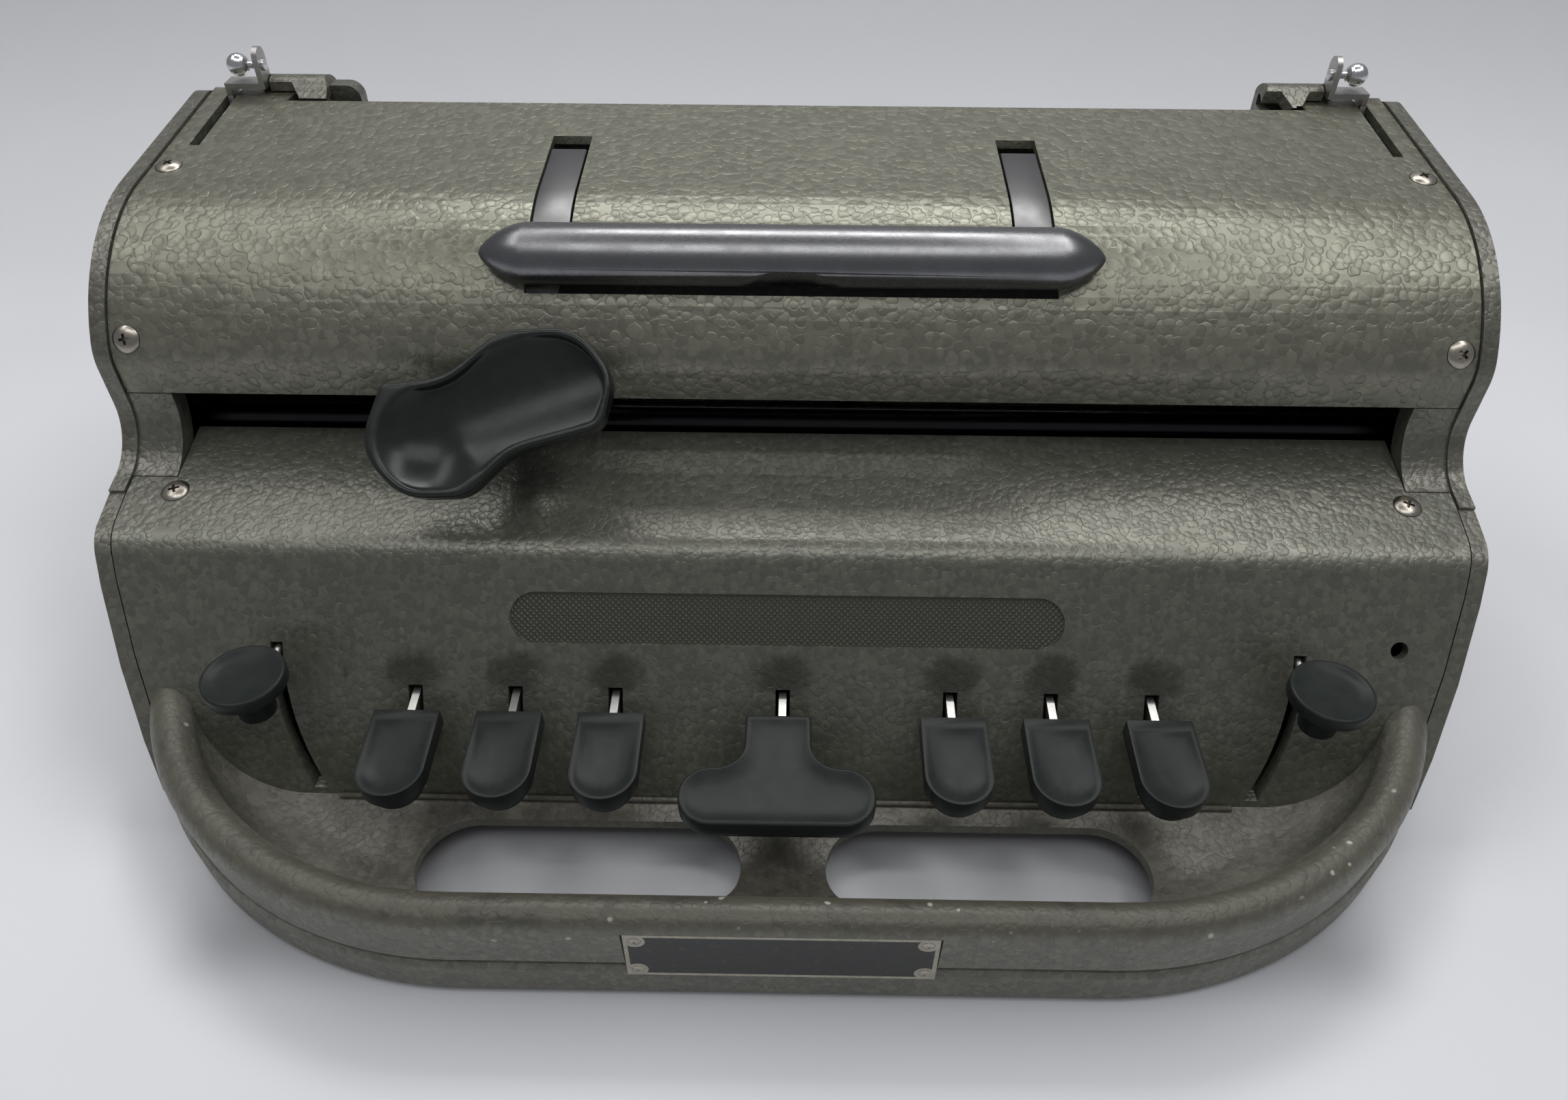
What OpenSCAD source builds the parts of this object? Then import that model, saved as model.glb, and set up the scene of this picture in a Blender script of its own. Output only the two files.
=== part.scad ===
// Manual braille writer.
// X runs along the carriage, Y runs to the back, Z is up; the origin is on the table,
// under the middle of the body.

/* [Body] */
// Width over the side castings
body_w = 364; // [350:1:380]
// Depth from the front of the rail to the back
body_d = 226; // [222:1:236]
// Thickness of a side casting's wall
side_t = 4.2; // [3:0.1:6]
// How far the rolled rim of a side casting stands proud of the cover
rim_h = 0.8; // [0.4:0.1:1.5]
// Radius of the front corners seen from above
corner_r = 105; // [98:1:110]
// Height of the body's underside above the table
foot_h = 3; // [2:0.5:5]

/* [Top cover] */
// Wall of the sheet-metal top cover
cover_t = 2.4; // [1.6:0.1:3]
// Front face of the cover, from the middle of the body
cover_front = 9; // [8:0.5:10]
// Lower edge of the cover, above the carriage slot
slot_top = 92; // [90:0.5:94]
// Radius of the cover's rounded brow
brow_r = 50; // [44:1:50]
// Radius of the bend from the brow to the front face
bend_r = 14; // [11:1:14]
// Slope of the top, in degrees
top_slope = 4.5; // [4.3:0.1:5]
// Wall under the cover that its screws go into
flange_t = 3; // [2:0.5:4]
// Width of that wall, measured in from the side casting
flange_w = 12; // [10:1:14]

/* [Front panel] */
// Wall of the front panel
panel_t = 3; // [2:0.2:4]
// Lean of the panel from upright, in degrees
panel_lean = 32; // [30:1:34]
// Distance from the middle of the body to the foot of the panel
panel_foot = 61; // [60:0.5:63]
// Rise of the ledge per millimetre of depth
ledge_slope = 0.2; // [0.15:0.01:0.25]
// Radius of the ledge's front edge
ledge_r = 9.5; // [6:0.5:12]
// Radius of the hollow between the ledge and the cover
hollow_r = 16; // [12:1:18]
// Length of the recess for a name
recess_l = 145; // [120:1:160]
// Height of that recess
recess_h = 14; // [10:0.5:16]
// Depth of that recess
recess_d = 0.8; // [0.4:0.1:1.4]
// Diameter of the adjusting hole
adjust_d = 4.6; // [3:0.2:6]

/* [Base] */
// Top of the floor above the table
floor_z = 11; // [10:0.5:12]
// Thickness of the floor
floor_t = 3; // [2:0.5:4]
// Top of the rail above the table
rail_top = 35.4; // [33:0.2:37]
// Radius of the rolled top of the rail
rail_r = 5.2; // [4.5:0.1:6]
// Length of one hand opening in the floor
hand_l = 83; // [74:1:86]
// Width of a hand opening
hand_w = 27.6; // [22:0.2:28]
// Wall between the two hand openings
hand_gap = 21.6; // [18:0.2:26]
// Diameter of a rubber foot
foot_d = 15; // [12:0.5:18]

/* [Keys] */
// Distance between two neighbouring dot keys
key_pitch = 26.5; // [25:0.1:28]
// Distance from the middle to the nearest dot key
key_first = 44.2; // [42:0.2:46]
// Width of a dot key's cap
cap_w = 17; // [15:0.5:18]
// Length of a dot key's cap
cap_l = 26; // [22:0.5:28]
// Thickness of a cap
cap_t = 9; // [7:0.5:10]
// Height of the caps' upper faces above the table
cap_top = 37; // [36:0.5:39]
// Thickness of a steel key lever
lever_t = 2; // [1.5:0.1:2.5]
// Width of a key slot in the panel
key_slot = 3.8; // [3.4:0.1:5]
// Diameter of the shaft that the keys turn on
key_shaft_d = 6; // [5:0.5:8]
// Width of the space key's bar
space_w = 48.5; // [44:0.5:52]
// Diameter of the line-space and back-space discs
disc_d = 20.5; // [18:0.5:22]
// Height of those discs' upper faces
disc_top = 54; // [53:0.5:56]
// Radius of the arc that those two keys swing on
spacer_r = 55; // [52:1:58]

/* [Handle] */
// Length of the handle bar over its pointed ends
handle_l = 161; // [150:1:168]
// Length of one pointed end
tip_l = 12; // [8:1:16]
// Width of the bar
bar_w = 16.4; // [14:0.2:18]
// Thickness of the bar
bar_t = 13; // [12:0.5:14]
// Distance between the handle's arms
arm_span = 127; // [120:1:130]
// Width of a handle arm
arm_w = 10; // [8:0.5:11]
// Thickness of a handle arm
arm_t = 3.6; // [3:0.2:4.2]
// Diameter of the handle's pivot pins
handle_pin_d = 4; // [3:0.5:5]

/* [Carriage and paper] */
// Diameter of the front carriage rail
front_rail_d = 8; // [7:0.5:9]
// Diameter of the rear carriage rail
rear_rail_d = 8; // [7:0.5:9]
// Distance from one cell to the next
cell_pitch = 6.2; // [6:0.05:6.4]
// Number of cells in a line
cells = 42; // [40:1:42]
// Place of the carriage in the photograph, from the middle
carriage_x = -76; // [-90:1:-60]
// Diameter of the feed drum
drum_d = 34; // [30:1:36]
// Length of the feed drum
drum_l = 294; // [280:1:300]
// Diameter of the drum's shaft
drum_shaft_d = 8; // [6:0.5:9]
// Diameter of a feed knob
knob_d = 32; // [28:1:34]
// How far a feed knob stands out from the side
knob_out = 15; // [12:1:16]
// Flutes round a feed knob
knob_flutes = 20; // [12:1:28]
// Diameter of a release lever's ball
ball_d = 6.6; // [6:0.2:7.4]
// Thickness of a release lever
release_t = 1.6; // [1.2:0.1:2]

/* [Fits] */
// Gap that keeps neighbouring faces apart
gap = 0.3; // [0.3:0.05:0.5]
// Radial clearance of a running fit
run_fit = 0.05; // [0.02:0.01:0.1]

/* [Hidden] */

$fn = 64;
arc_steps = 14;         // segments of a rounded corner in an outline
eps = 0.01;
big = 400;

half_w = body_w / 2;
front_y = -body_d / 2;
rear_y = body_d / 2;
rear_face = rear_y - rim_h;
inner_x = half_w - side_t;          // inner face of a side casting
cover_x = inner_x - gap;            // end of the top cover
corner_x = half_w - corner_r;       // centre of a front corner
casting_z = floor_z;                // lower edge of the side castings

panel_z = floor_z;                  // foot of the panel, on the floor
ledge_mark = [-12.6, 71.2];         // a point of the ledge, seen from the side

// ---- outlines in the Y-Z plane ----
function unit(v) = v / norm(v);
function left_of(v) = [-v.y, v.x];
function cross2(a, b) = a.x * b.y - a.y * b.x;
// Meeting point of the line through p along d and the line through q along e
function meet(p, d, q, e) = p + d * (cross2(q - p, e) / cross2(d, e));
// An outline is a list of [point, radius]; this moves it to its left by s
function shifted(path, s) =
    let (n = len(path), pt = [for (c = path) c[0]],
         dir = [for (i = [0:n - 2]) unit(pt[i + 1] - pt[i])])
    [for (i = [0:n - 1])
        let (a = dir[max(0, i - 1)], b = dir[min(n - 2, i)],
             turn = cross2(a, b),
             moved = abs(turn) < 1e-6 ? pt[i] + left_of(b) * s
                 : meet(pt[i] + left_of(a) * s, a, pt[i] + left_of(b) * s, b))
        [moved, path[i][1] == 0 ? 0 : path[i][1] - s * sign(turn)]];
// Points of an outline, with an arc at each corner that has a radius
function rounded(path, closed = false) =
    let (n = len(path))
    [for (i = [0:n - 1])
        let (p = path[i][0], r = path[i][1], end = !closed && (i == 0 || i == n - 1))
        if (end || r <= 0) p
        else let (u = unit(path[(i + n - 1) % n][0] - p), v = unit(path[(i + 1) % n][0] - p),
                  half = acos(u * v) / 2, c = p + unit(u + v) * r / sin(half),
                  a = p + u * r / tan(half) - c, b = p + v * r / tan(half) - c,
                  a0 = atan2(a.y, a.x), turn = atan2(cross2(a, b), a * b))
            for (k = [0:arc_steps])
                let (t = a0 + turn * k / arc_steps) c + r * [cos(t), sin(t)]];
function reversed(list) = [for (i = [len(list) - 1:-1:0]) list[i]];

ledge_dir = unit([1, ledge_slope]);
lean_dir = [sin(panel_lean), cos(panel_lean)];
ledge_edge = meet([-panel_foot, panel_z], lean_dir, ledge_mark, ledge_dir);
hollow_corner = meet([cover_front, 0], [0, 1], ledge_mark, ledge_dir);

// Cover, from its front lower edge over the brow to the back
brow_low = [cover_front, 103.2];
top_dir = [cos(top_slope), sin(top_slope)];
brow_high = [24.2, 129.8];
top_rear = brow_high + top_dir * ((rear_face - brow_high.x) / top_dir.x);
cover_path = [[[cover_front, slot_top], 0], [brow_low, bend_r], [brow_high, brow_r], [top_rear, 0]];
brow_turn = 90 + top_slope;
function top_at(y) = brow_high.y + (y - brow_high.x) * tan(top_slope);

// Panel, from its foot over the ledge to the carriage slot
panel_foot_pt = [-panel_foot, panel_z];
ledge_back = 15;                    // back edge of the ledge, inside the slot
panel_path = [[panel_foot_pt - lean_dir * panel_t, 0], [ledge_edge, ledge_r],
    [ledge_mark + ledge_dir * (ledge_back - ledge_mark.x) / ledge_dir.x, 0]];

// Whole side outline, from the foot of the panel round to the back
side_path = [[panel_foot_pt, 0],
    [ledge_edge, ledge_r], [hollow_corner, hollow_r], [brow_low, bend_r], [brow_high, brow_r],
    [top_rear, 9], [[rear_face, casting_z], 0]];

// Seen from above: the body's outline, moved inwards by s
function plan_path(s) =
    let (x = half_w - s, f = front_y + s, b = rear_y - s)
    [[[-x, b], 2], [[-x, f], corner_r - s], [[x, f], corner_r - s], [[x, b], 2]];

module along_x(x0, x1) {
    translate([x0, 0, 0]) rotate([90, 0, 90]) linear_extrude(x1 - x0) children();
}
module along_y(y0, y1) {
    translate([0, y1, 0]) rotate([90, 0, 0]) linear_extrude(y1 - y0) children();
}
module x_rod(r, x0, x1, y, z) {
    translate([x0, y, z]) rotate([0, 90, 0]) cylinder(r = r, h = x1 - x0);
}
module y_rod(r, y0, y1, x, z) {
    translate([x, y1, z]) rotate([90, 0, 0]) cylinder(r = r, h = y1 - y0);
}
module both_sides() {
    children();
    mirror([1, 0, 0]) children();
}
// Local z points away from the surface, at angle a in the Y-Z plane
module facing(x, p, a) {
    translate([x, p.x, p.y]) rotate([a - 90, 0, 0]) children();
}
// Local x along the panel, y up its slope, z out of it
module on_panel() {
    translate([0, panel_foot_pt.x, panel_foot_pt.y]) rotate([90 - panel_lean, 0, 0]) children();
}
module plan(s) {
    polygon(rounded(plan_path(s), true));
}
// A sheet whose outer face follows a path, as a Y-Z outline
module sheet(path, t) {
    polygon(concat(rounded(path), reversed(rounded(shifted(path, -t)))));
}
// Everything behind the panel's leaning face and under the cover, as a Y-Z outline
module side_outline(s) {
    polygon(rounded(shifted(side_path, s)));
}

// ---- places shared by several pieces ----
screw_r = 2;
screw_head_r = 3.6;
brow_dir = unit(brow_high - brow_low);
cover_screw_lo = brow_low + brow_dir * 4.5;
cover_screw_lo_a = atan2(brow_dir.x, -brow_dir.y);
cover_screw_hi = [60, top_at(60)];
cover_screw_x = half_w - 8.9;
panel_screw = ledge_mark + ledge_dir * 4.7;
panel_screw_a = 90 + atan(ledge_slope);
panel_screw_x = half_w - 17.4;

key_mid = -0.8;                     // the keyboard sits a little to the left
key_x = [for (i = [2, 1, 0]) key_mid - (key_first + i * key_pitch),
         for (i = [0, 1, 2]) key_mid + key_first + i * key_pitch];
// Dot 1 is under the left forefinger, dots 4 to 6 lie to the right
dot_x = [key_x[2], key_x[1], key_x[0], key_x[3], key_x[4], key_x[5]];
key_slot_top = 37;
key_pivot = [66, 24];
nose_h = 4;
lever_nose = [-68.5, cap_top - 5.5];
lever_rise = [-43, 35];
cap_rear = -53.3;
tier_in = 2;                        // the lower half of a cap is this much narrower
tier_rear = 3.5;                    // and this much further from the panel
cap_tilt = 3;

spacer_x = 79.3;                     // pivot of the line-space and back-space levers
spacer_z = 44;
spacer_plate_y = -31;
spacer_plate_t = 2;
spacer_pin_r = 2;
post_y = -20;                       // posts that carry the pins of those levers
disc_y = -57;
wire_r = 1.2;
stem_r = 5;
stem_l = 14;

socket_d = 2;                       // depth of the rods' sockets in the side castings
rod_x = inner_x + socket_d - gap;
front_rail_at = [22, 75.5];
rear_rail_at = [44, 70];
drum_at = [72, 88];
knob_hub_r = 8;

handle_pivot = [72, 127];
bar_at = [24.1, 126.1];
bar_a = 124;                       // direction in which the bar faces
arm_x = arm_span / 2;
arm_slot_w = arm_w + 1.2;
arm_slot_rear = 79.5;

release_pivot = [95.3, 76.5];
release_x = half_w - 11.5;          // plane of the release lever's blade
release_top_x = release_x - 10.5;     // plane of its upright end
release_slot_w = 3;
release_slot = [72, 109.4];
release_foot = [105, 138.3];
release_tip_z = 149.8;
ball_z = 144.5;
ball_pin_r = 1;
release_pin_r = 2;
strip_r = 3;                        // half the width of the lever's upright end
release_ball_x = release_top_x + 6.6;

hood_x = [141, 163];
cover_rear = 100;
tab_rear = 108.5;
tab_x = 153;

margin_at = [101, 58];
margin_rod_r = 3;
bell_at = [-128, 84, 36];
bell_r = 15;
hammer_r = 3.4;
hammer_z = 39;
hammer_y = bell_at.y - bell_r - hammer_r - 0.6;

// ---- base ----
// Sections of the rail: x is the distance in from the body's outline, y the height
roll = [rail_r, rail_top - rail_r];
bowl_r = roll.y - floor_z;
bowl = [2 * rail_r + bowl_r, roll.y];
rail_depth = 36;
crease_z = 14.4;
rail_in = 7;                        // the rail's corners are this much tighter than the skirt's
inner_wall = 4.8;
// Flared skirt, and the web that carries the rail
module skirt_section() {
    polygon([[4.4, foot_h], [2, foot_h], [1.7, crease_z - 2], [2.6, crease_z - 0.5], [12, 19],
        [12, 15], [4.4, crease_z - 3.6]]);
}
// Rolled rail, the bowl behind it and its hollow underside
module rail_section() {
    difference() {
        union() {
            translate(roll) circle(rail_r);
            polygon([[inner_wall, 12], [3, crease_z], [1, 18], [0, roll.y], [bowl.x, roll.y],
                [bowl.x, floor_z - floor_t], [inner_wall, floor_z - floor_t]]);
            translate([bowl.x - eps, floor_z - floor_t]) square([rail_depth - bowl.x, floor_t]);
        }
        intersection() {
            translate(bowl) circle(bowl_r, $fn = 128);
            square([bowl.x, roll.y]);
        }
        difference() {
            translate([inner_wall, 0]) square([bowl.x - inner_wall, 26]);
            translate(bowl) circle(bowl_r + floor_t, $fn = 128);
        }
    }
}
// A section carried along the straight front and round one corner of radius r
module round_front(r) {
    translate([-corner_x, 0, 0]) rotate([90, 0, 90]) linear_extrude(2 * corner_x)
        translate([front_y, 0]) children();
    both_sides() translate([corner_x, front_y + r, 0]) rotate([0, 0, -90])
        rotate_extrude(angle = 75, $fn = 120) translate([r, 0]) mirror([1, 0]) children();
}
hand_y = front_y + 17 + hand_w / 2;
module hand_opening() {
    x0 = hand_gap / 2;
    r = hand_w / 2;
    translate([0, 0, -1]) linear_extrude(rail_top) union() {
        translate([x0 + r, hand_y - r]) square([hand_l - hand_w, hand_w]);
        for (x = [x0 + r, x0 + hand_l - r]) translate([x, hand_y]) circle(r);
    }
}
lug_at = [half_w - 19, -52];
lug_r = 8;
rear_foot_at = [half_w - 20, rear_y - 16];
plate_w = 71.5;
plate_h = 17.5;
plate_z = rail_top - 21.6;
plate_t = 0.8;
plate_seat = 1.2;
seat_edge = 0.4;                    // the flat seat is this much larger than the plate
floor_join = panel_foot_pt.x + 6;   // where the open front floor meets the floor under the body
foot_pin_r = 2.5;
rivet_r = 0.9;
rivet_head_r = 1.5;
rivet_in = 2.6;                     // from the plate's edges to a rivet
module base_casting() {
    color([0.36, 0.36, 0.31]) difference() {
        union() {
            difference() {
                union() {
                    round_front(corner_r) skirt_section();
                    round_front(corner_r - rail_in) rail_section();
                    translate([0, 0, floor_z - floor_t]) linear_extrude(floor_t) plan(34);
                }
                both_sides() hand_opening();
                // cut to the leaning face of the panel
                along_x(-half_w, half_w) polygon([panel_foot_pt, panel_foot_pt + lean_dir * big,
                    [big, big], [big, floor_z], [panel_foot_pt.x, floor_z]]);
                translate([-half_w, floor_join, -1]) cube([body_w, big, floor_z + 1]);
            }
            // skirt and floor under the body
            difference() {
                translate([0, 0, foot_h]) linear_extrude(floor_z - foot_h) plan(2);
                translate([0, 0, foot_h - 1]) linear_extrude(floor_z - floor_t - foot_h + 1) plan(4.4);
                translate([-half_w, front_y - 1, 0]) cube([body_w, floor_join - front_y + 1, big]);
            }
            // flat seat for the plate
            translate([-plate_w / 2 - seat_edge, front_y + plate_seat, plate_z - seat_edge])
                cube([plate_w + 2 * seat_edge, 3.2, plate_h - 4]);
            // lugs over the feet
            both_sides() {
                translate([lug_at.x, lug_at.y, foot_h]) cylinder(r = lug_r, h = floor_z - foot_h);
                translate([rear_foot_at.x, rear_foot_at.y, foot_h])
                    cylinder(r = lug_r, h = floor_z - foot_h - eps);
            }
        }
        translate([-plate_w / 2 - seat_edge, front_y - 1, plate_z - seat_edge - eps])
            cube([plate_w + 2 * seat_edge, 1 + plate_seat, plate_h + 2 * (seat_edge + eps)]);
        // sockets of the feet
        both_sides() for (p = [lug_at, rear_foot_at])
            translate([p.x, p.y, 0]) cylinder(r = foot_pin_r + run_fit, h = 7);
    }
}
module bottom_plate() {
    color([0.18, 0.18, 0.17]) difference() {
        translate([0, 0, foot_h + 0.6]) linear_extrude(1.2) difference() {
            plan(5 + gap);
            translate([-half_w, front_y]) square([body_w, floor_join - front_y]);
        }
        both_sides() for (p = [lug_at, rear_foot_at])
            translate([p.x, p.y, 0]) cylinder(r = lug_r + gap, h = 20);
    }
}
module rubber_feet() {
    color([0.1, 0.1, 0.1]) both_sides() for (p = [lug_at, rear_foot_at])
        translate([p.x, p.y, 0]) {
            cylinder(r = foot_d / 2, h = foot_h);
            cylinder(r = foot_pin_r, h = 6.5);
        }
}
module name_plate() {
    color([0.07, 0.07, 0.07]) difference() {
        translate([-plate_w / 2, front_y + plate_seat - plate_t, plate_z])
            cube([plate_w, plate_t, plate_h]);
        for (x = [-1, 1], z = [0, 1]) y_rod(rivet_r + run_fit, front_y - 1, front_y + 4,
            x * (plate_w / 2 - rivet_in), plate_z + rivet_in + z * (plate_h - 2 * rivet_in));
    }
}
module plate_rivets() {
    color([0.75, 0.73, 0.66]) for (x = [-1, 1], z = [0, 1])
        translate([x * (plate_w / 2 - rivet_in), front_y + plate_seat,
            plate_z + rivet_in + z * (plate_h - 2 * rivet_in)])
            rotate([90, 0, 0]) rotate_extrude() polygon(concat([[0, 0], [rivet_r, 0],
                [rivet_r, plate_t], [rivet_head_r, plate_t]],
                [for (a = [20:20:90]) [rivet_head_r * cos(a), plate_t + 0.4 * sin(a)]]));
}

// ---- side castings ----
module side_holes() {
    x_rod(drum_shaft_d / 2 + run_fit, inner_x - 30, half_w + 5, drum_at.x, drum_at.y);
    x_rod(front_rail_d / 2 + run_fit, inner_x - 30, inner_x + socket_d, front_rail_at.x, front_rail_at.y);
    x_rod(rear_rail_d / 2 + run_fit, inner_x - 30, inner_x + socket_d, rear_rail_at.x, rear_rail_at.y);
    x_rod(key_shaft_d / 2 + run_fit, inner_x - 30, inner_x + socket_d, key_pivot.x, key_pivot.y);
    x_rod(margin_rod_r + run_fit, inner_x - 30, inner_x + socket_d, margin_at.x, margin_at.y);
    facing(cover_screw_x, cover_screw_lo, cover_screw_lo_a) translate([0, 0, -14])
        cylinder(r = screw_r + run_fit, h = 20);
    facing(cover_screw_x, cover_screw_hi, brow_turn) translate([0, 0, -14])
        cylinder(r = screw_r + run_fit, h = 20);
    facing(panel_screw_x, panel_screw, panel_screw_a) translate([0, 0, -14])
        cylinder(r = screw_r + run_fit, h = 20);
    // way of the release lever
    translate([release_x - release_slot_w / 2, release_slot[0] - 1, 60])
        cube([release_slot_w, release_slot[1] - release_slot[0] + 1.2, 90]);
}
// The body's outer skin between two offsets, seen from the side
module skin(outer, t) {
    difference() {
        side_outline(outer);
        side_outline(outer - t);
    }
}
module side_wall() {
    intersection() {
        along_x(half_w - 70, half_w) side_outline(0);
        translate([0, 0, casting_z]) linear_extrude(big) difference() {
            plan(0);
            plan(side_t);
        }
        union() {
            translate([half_w - 70, front_y, 0]) cube([70, body_d - side_t - 2, big]);
            translate([wall_in, 0, 0]) cube([flange_w + side_t, big, big]);
        }
    }
}
module side_casting() {
    difference() {
        union() {
            side_wall();
            // rolled rim outside the cover
            intersection() {
                along_x(inner_x, half_w) skin(rim_h, rim_h + side_t);
                translate([0, rim_front, rim_low]) cube([half_w, big, big]);
            }
            // wall under the cover that takes its screws
            intersection() {
                along_x(wall_in, inner_x + eps) skin(-cover_t - gap, flange_t);
                translate([0, 0, slot_top - flange_t]) cube([half_w, flange_rear, big]);
            }
            // ledge under the panel's screw
            intersection() {
                along_x(panel_screw_x - 6, inner_x + eps) skin(-panel_t - gap, flange_t);
                translate([0, panel_screw.x - 6, 0]) cube([half_w, 9, slot_top]);
            }
            // front face beside the carriage slot
            intersection() {
                along_x(wall_in, inner_x + eps) skin(0, cover_t + gap + flange_t);
                translate([0, valley_front, 0]) cube([half_w, 40, slot_top - gap]);
            }
        }
        side_holes();
    }
}
rim_front = -9;
rim_low = 60;
valley_front = -3;
flange_rear = 98;
wall_in = inner_x - flange_w;
// Hood behind the cover's corner; its roof reaches forward between x = tongue[0] and tongue[1]
module hood(tongue) {
    back = rear_face;
    difference() {
        intersection() {
            along_x(hood_x[0], hood_x[1]) sheet([[[hood_y, hood_z - 4.6], 0],
                [[hood_y + 7, hood_z], 5], [[back, hood_z - 1.6], 3.5], [[back, 104], 0]], hood_t);
            // rounded inboard shoulder
            along_y(hood_y - 1, back + 1) polygon(rounded([[[hood_x[0], 90], 0],
                [[hood_x[0], hood_z + 1], 5], [[hood_x[1], hood_z + 1], 0], [[hood_x[1], 90], 0]]));
        }
        // room for the corner of the cover
        translate([tab_x - 3, 0, 100]) cube([40, tab_rear + gap, top_at(tab_rear) + gap - 100]);
        // room for the release lever
        translate([release_top_x - release_t / 2 - gap, hood_y - 1, 120])
            cube([20, release_foot.x + strip_r + gap - hood_y + 1, 40]);
        // front edge of the roof
        if (tongue[0] > hood_x[0] + 3) translate([0, 0, 100]) linear_extrude(big)
            polygon([[hood_x[0] - 1, hood_y - 1], [hood_x[0] - 1, hood_front],
                [tongue[0] - 3, hood_front], [tongue[0], hood_y], [tongue[0], hood_y - 1]]);
        translate([0, 0, 100]) linear_extrude(big) polygon([[tongue[1], hood_y - 1],
            [tongue[1], hood_y], [tongue[1] + 3, hood_front], [hood_x[1] + 1, hood_front],
            [hood_x[1] + 1, hood_y - 1]]);
    }
    // inboard end wall and the foot that joins the side casting
    along_x(hood_x[0], hood_x[0] + 3) translate([hood_front, 116]) square([back - 1 - hood_front, 18]);
    translate([hood_x[0], back - hood_t, 104]) cube([inner_x - hood_x[0] + eps, hood_t, 24]);
}
hood_y = cover_rear + gap;
hood_z = 141;
hood_t = 3;
hood_front = 105;
lug_w = 8.6;
module left_side_casting() {
    color([0.40, 0.41, 0.36]) mirror([1, 0, 0]) union() {
        side_casting();
        hood([hood_x[0], hood_x[0] + 8]);
        // round lug beside the hood
        along_y(hood_front + 1, rear_y - 2) polygon(rounded([[[hood_x[0] + 1, 126], 0],
            [[hood_x[0] - lug_w, 126], 2], [[hood_x[0] - lug_w, hood_z - 2.8], 4],
            [[hood_x[0] + 1, hood_z - 2.8], 0]]));
    }
}
module right_side_casting() {
    color([0.40, 0.41, 0.36]) union() {
        side_casting();
        hood([hood_x[0] + 8, hood_x[0] + 10.5]);
    }
}

// ---- front panel ----
module key_slots() {
    for (x = concat([key_mid], key_x))
        translate([x - key_slot / 2, panel_foot_pt.x - 10, floor_z + 2])
            cube([key_slot, 45, key_slot_top - floor_z - 2]);
    // arc slots of the line-space and back-space keys
    both_sides() along_y(-75, -25) intersection() {
        translate([spacer_x, spacer_z]) difference() {
            circle(spacer_r + wire_r + 0.4, $fn = 120);
            circle(spacer_r - wire_r - 0.4, $fn = 120);
        }
        translate([spacer_x, floor_z + 1.5]) square([80, spacer_z + 2.5 - floor_z - 1.5]);
    }
}
module front_panel() {
    color([0.38, 0.39, 0.34]) difference() {
        intersection() {
            along_x(-half_w, half_w) sheet(panel_path, panel_t);
            translate([0, 0, panel_z]) linear_extrude(big) plan(side_t + gap);
        }
        key_slots();
        on_panel() translate([0, recess_mid, -recess_d]) linear_extrude(5) union() {
            square([recess_l - recess_h, recess_h], center = true);
            for (x = [-1, 1]) translate([x * (recess_l - recess_h) / 2, 0]) circle(recess_h / 2);
        }
        on_panel() translate([adjust_x, (adjust_z - panel_foot_pt.y) / lean_dir.y, -10])
            cylinder(r = adjust_d / 2, h = 20);
        // corners that the side castings fill
        both_sides() translate([wall_in - gap, valley_front - gap, 50]) cube([60, 60, 60]);
        both_sides() facing(panel_screw_x, panel_screw, panel_screw_a) screw_hole();
    }
}
recess_mid = (52.8 - panel_z) / cos(panel_lean);
adjust_x = half_w - 22.2;
adjust_z = 48;
module screw_hole() {
    translate([0, 0, -12]) cylinder(r = screw_r + gap, h = 14);
    translate([0, 0, -1.6]) cylinder(r1 = screw_r + gap, r2 = screw_head_r + gap, h = 1.8);
    translate([0, 0, 0.19]) cylinder(r = screw_head_r + gap, h = 5);
}
module screw() {
    translate([0, 0, -11]) cylinder(r = screw_r, h = 10);
    rotate_extrude() polygon(concat([[0, -1.6], [screw_r, -1.6], [screw_head_r, 0.1]],
        [for (a = [15:15:90]) [screw_head_r * cos(a), 0.1 + 1.1 * sin(a)]]));
}
module casing_screws() {
    color([0.72, 0.69, 0.62]) both_sides() {
        facing(cover_screw_x, cover_screw_lo, cover_screw_lo_a) screw();
        facing(cover_screw_x, cover_screw_hi, brow_turn) screw();
        facing(panel_screw_x, panel_screw, panel_screw_a) screw();
    }
}

// ---- covers ----
bar_slot_half = 9;
bar_slot_l = 2 * (arm_x + arm_slot_w / 2);
module bar_frame() {
    translate([0, bar_at.x, bar_at.y]) rotate([bar_a - 90, 0, 0]) children();
}
module top_cover() {
    color([0.42, 0.43, 0.37]) difference() {
        along_x(-cover_x, cover_x) sheet(cover_path, cover_t);
        translate([-half_w, tab_rear, 100]) cube([body_w, 40, 60]);
        // the middle ends further forward than the two corners
        translate([0, 0, 100]) linear_extrude(60) polygon([[-tab_x, cover_rear], [tab_x, cover_rear],
            [tab_x - 2.5, tab_rear + 1], [-tab_x + 2.5, tab_rear + 1]]);
        // bar slot and arm slots
        bar_frame() translate([-bar_slot_l / 2, -bar_slot_half, -14])
            cube([bar_slot_l, 2 * bar_slot_half, 28]);
        both_sides() translate([arm_x - arm_slot_w / 2, bar_at.x - 4, 110])
            cube([arm_slot_w, arm_slot_rear - bar_at.x + 4, 40]);
        both_sides() {
            translate([release_x - release_slot_w / 2, release_slot[0], 110])
                cube([release_slot_w, 60, 40]);
            facing(cover_screw_x, cover_screw_lo, cover_screw_lo_a) screw_hole();
            facing(cover_screw_x, cover_screw_hi, brow_turn) screw_hole();
        }
    }
}
rear_cover_y = rear_y - 3;
rear_cover_t = 1.6;
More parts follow.
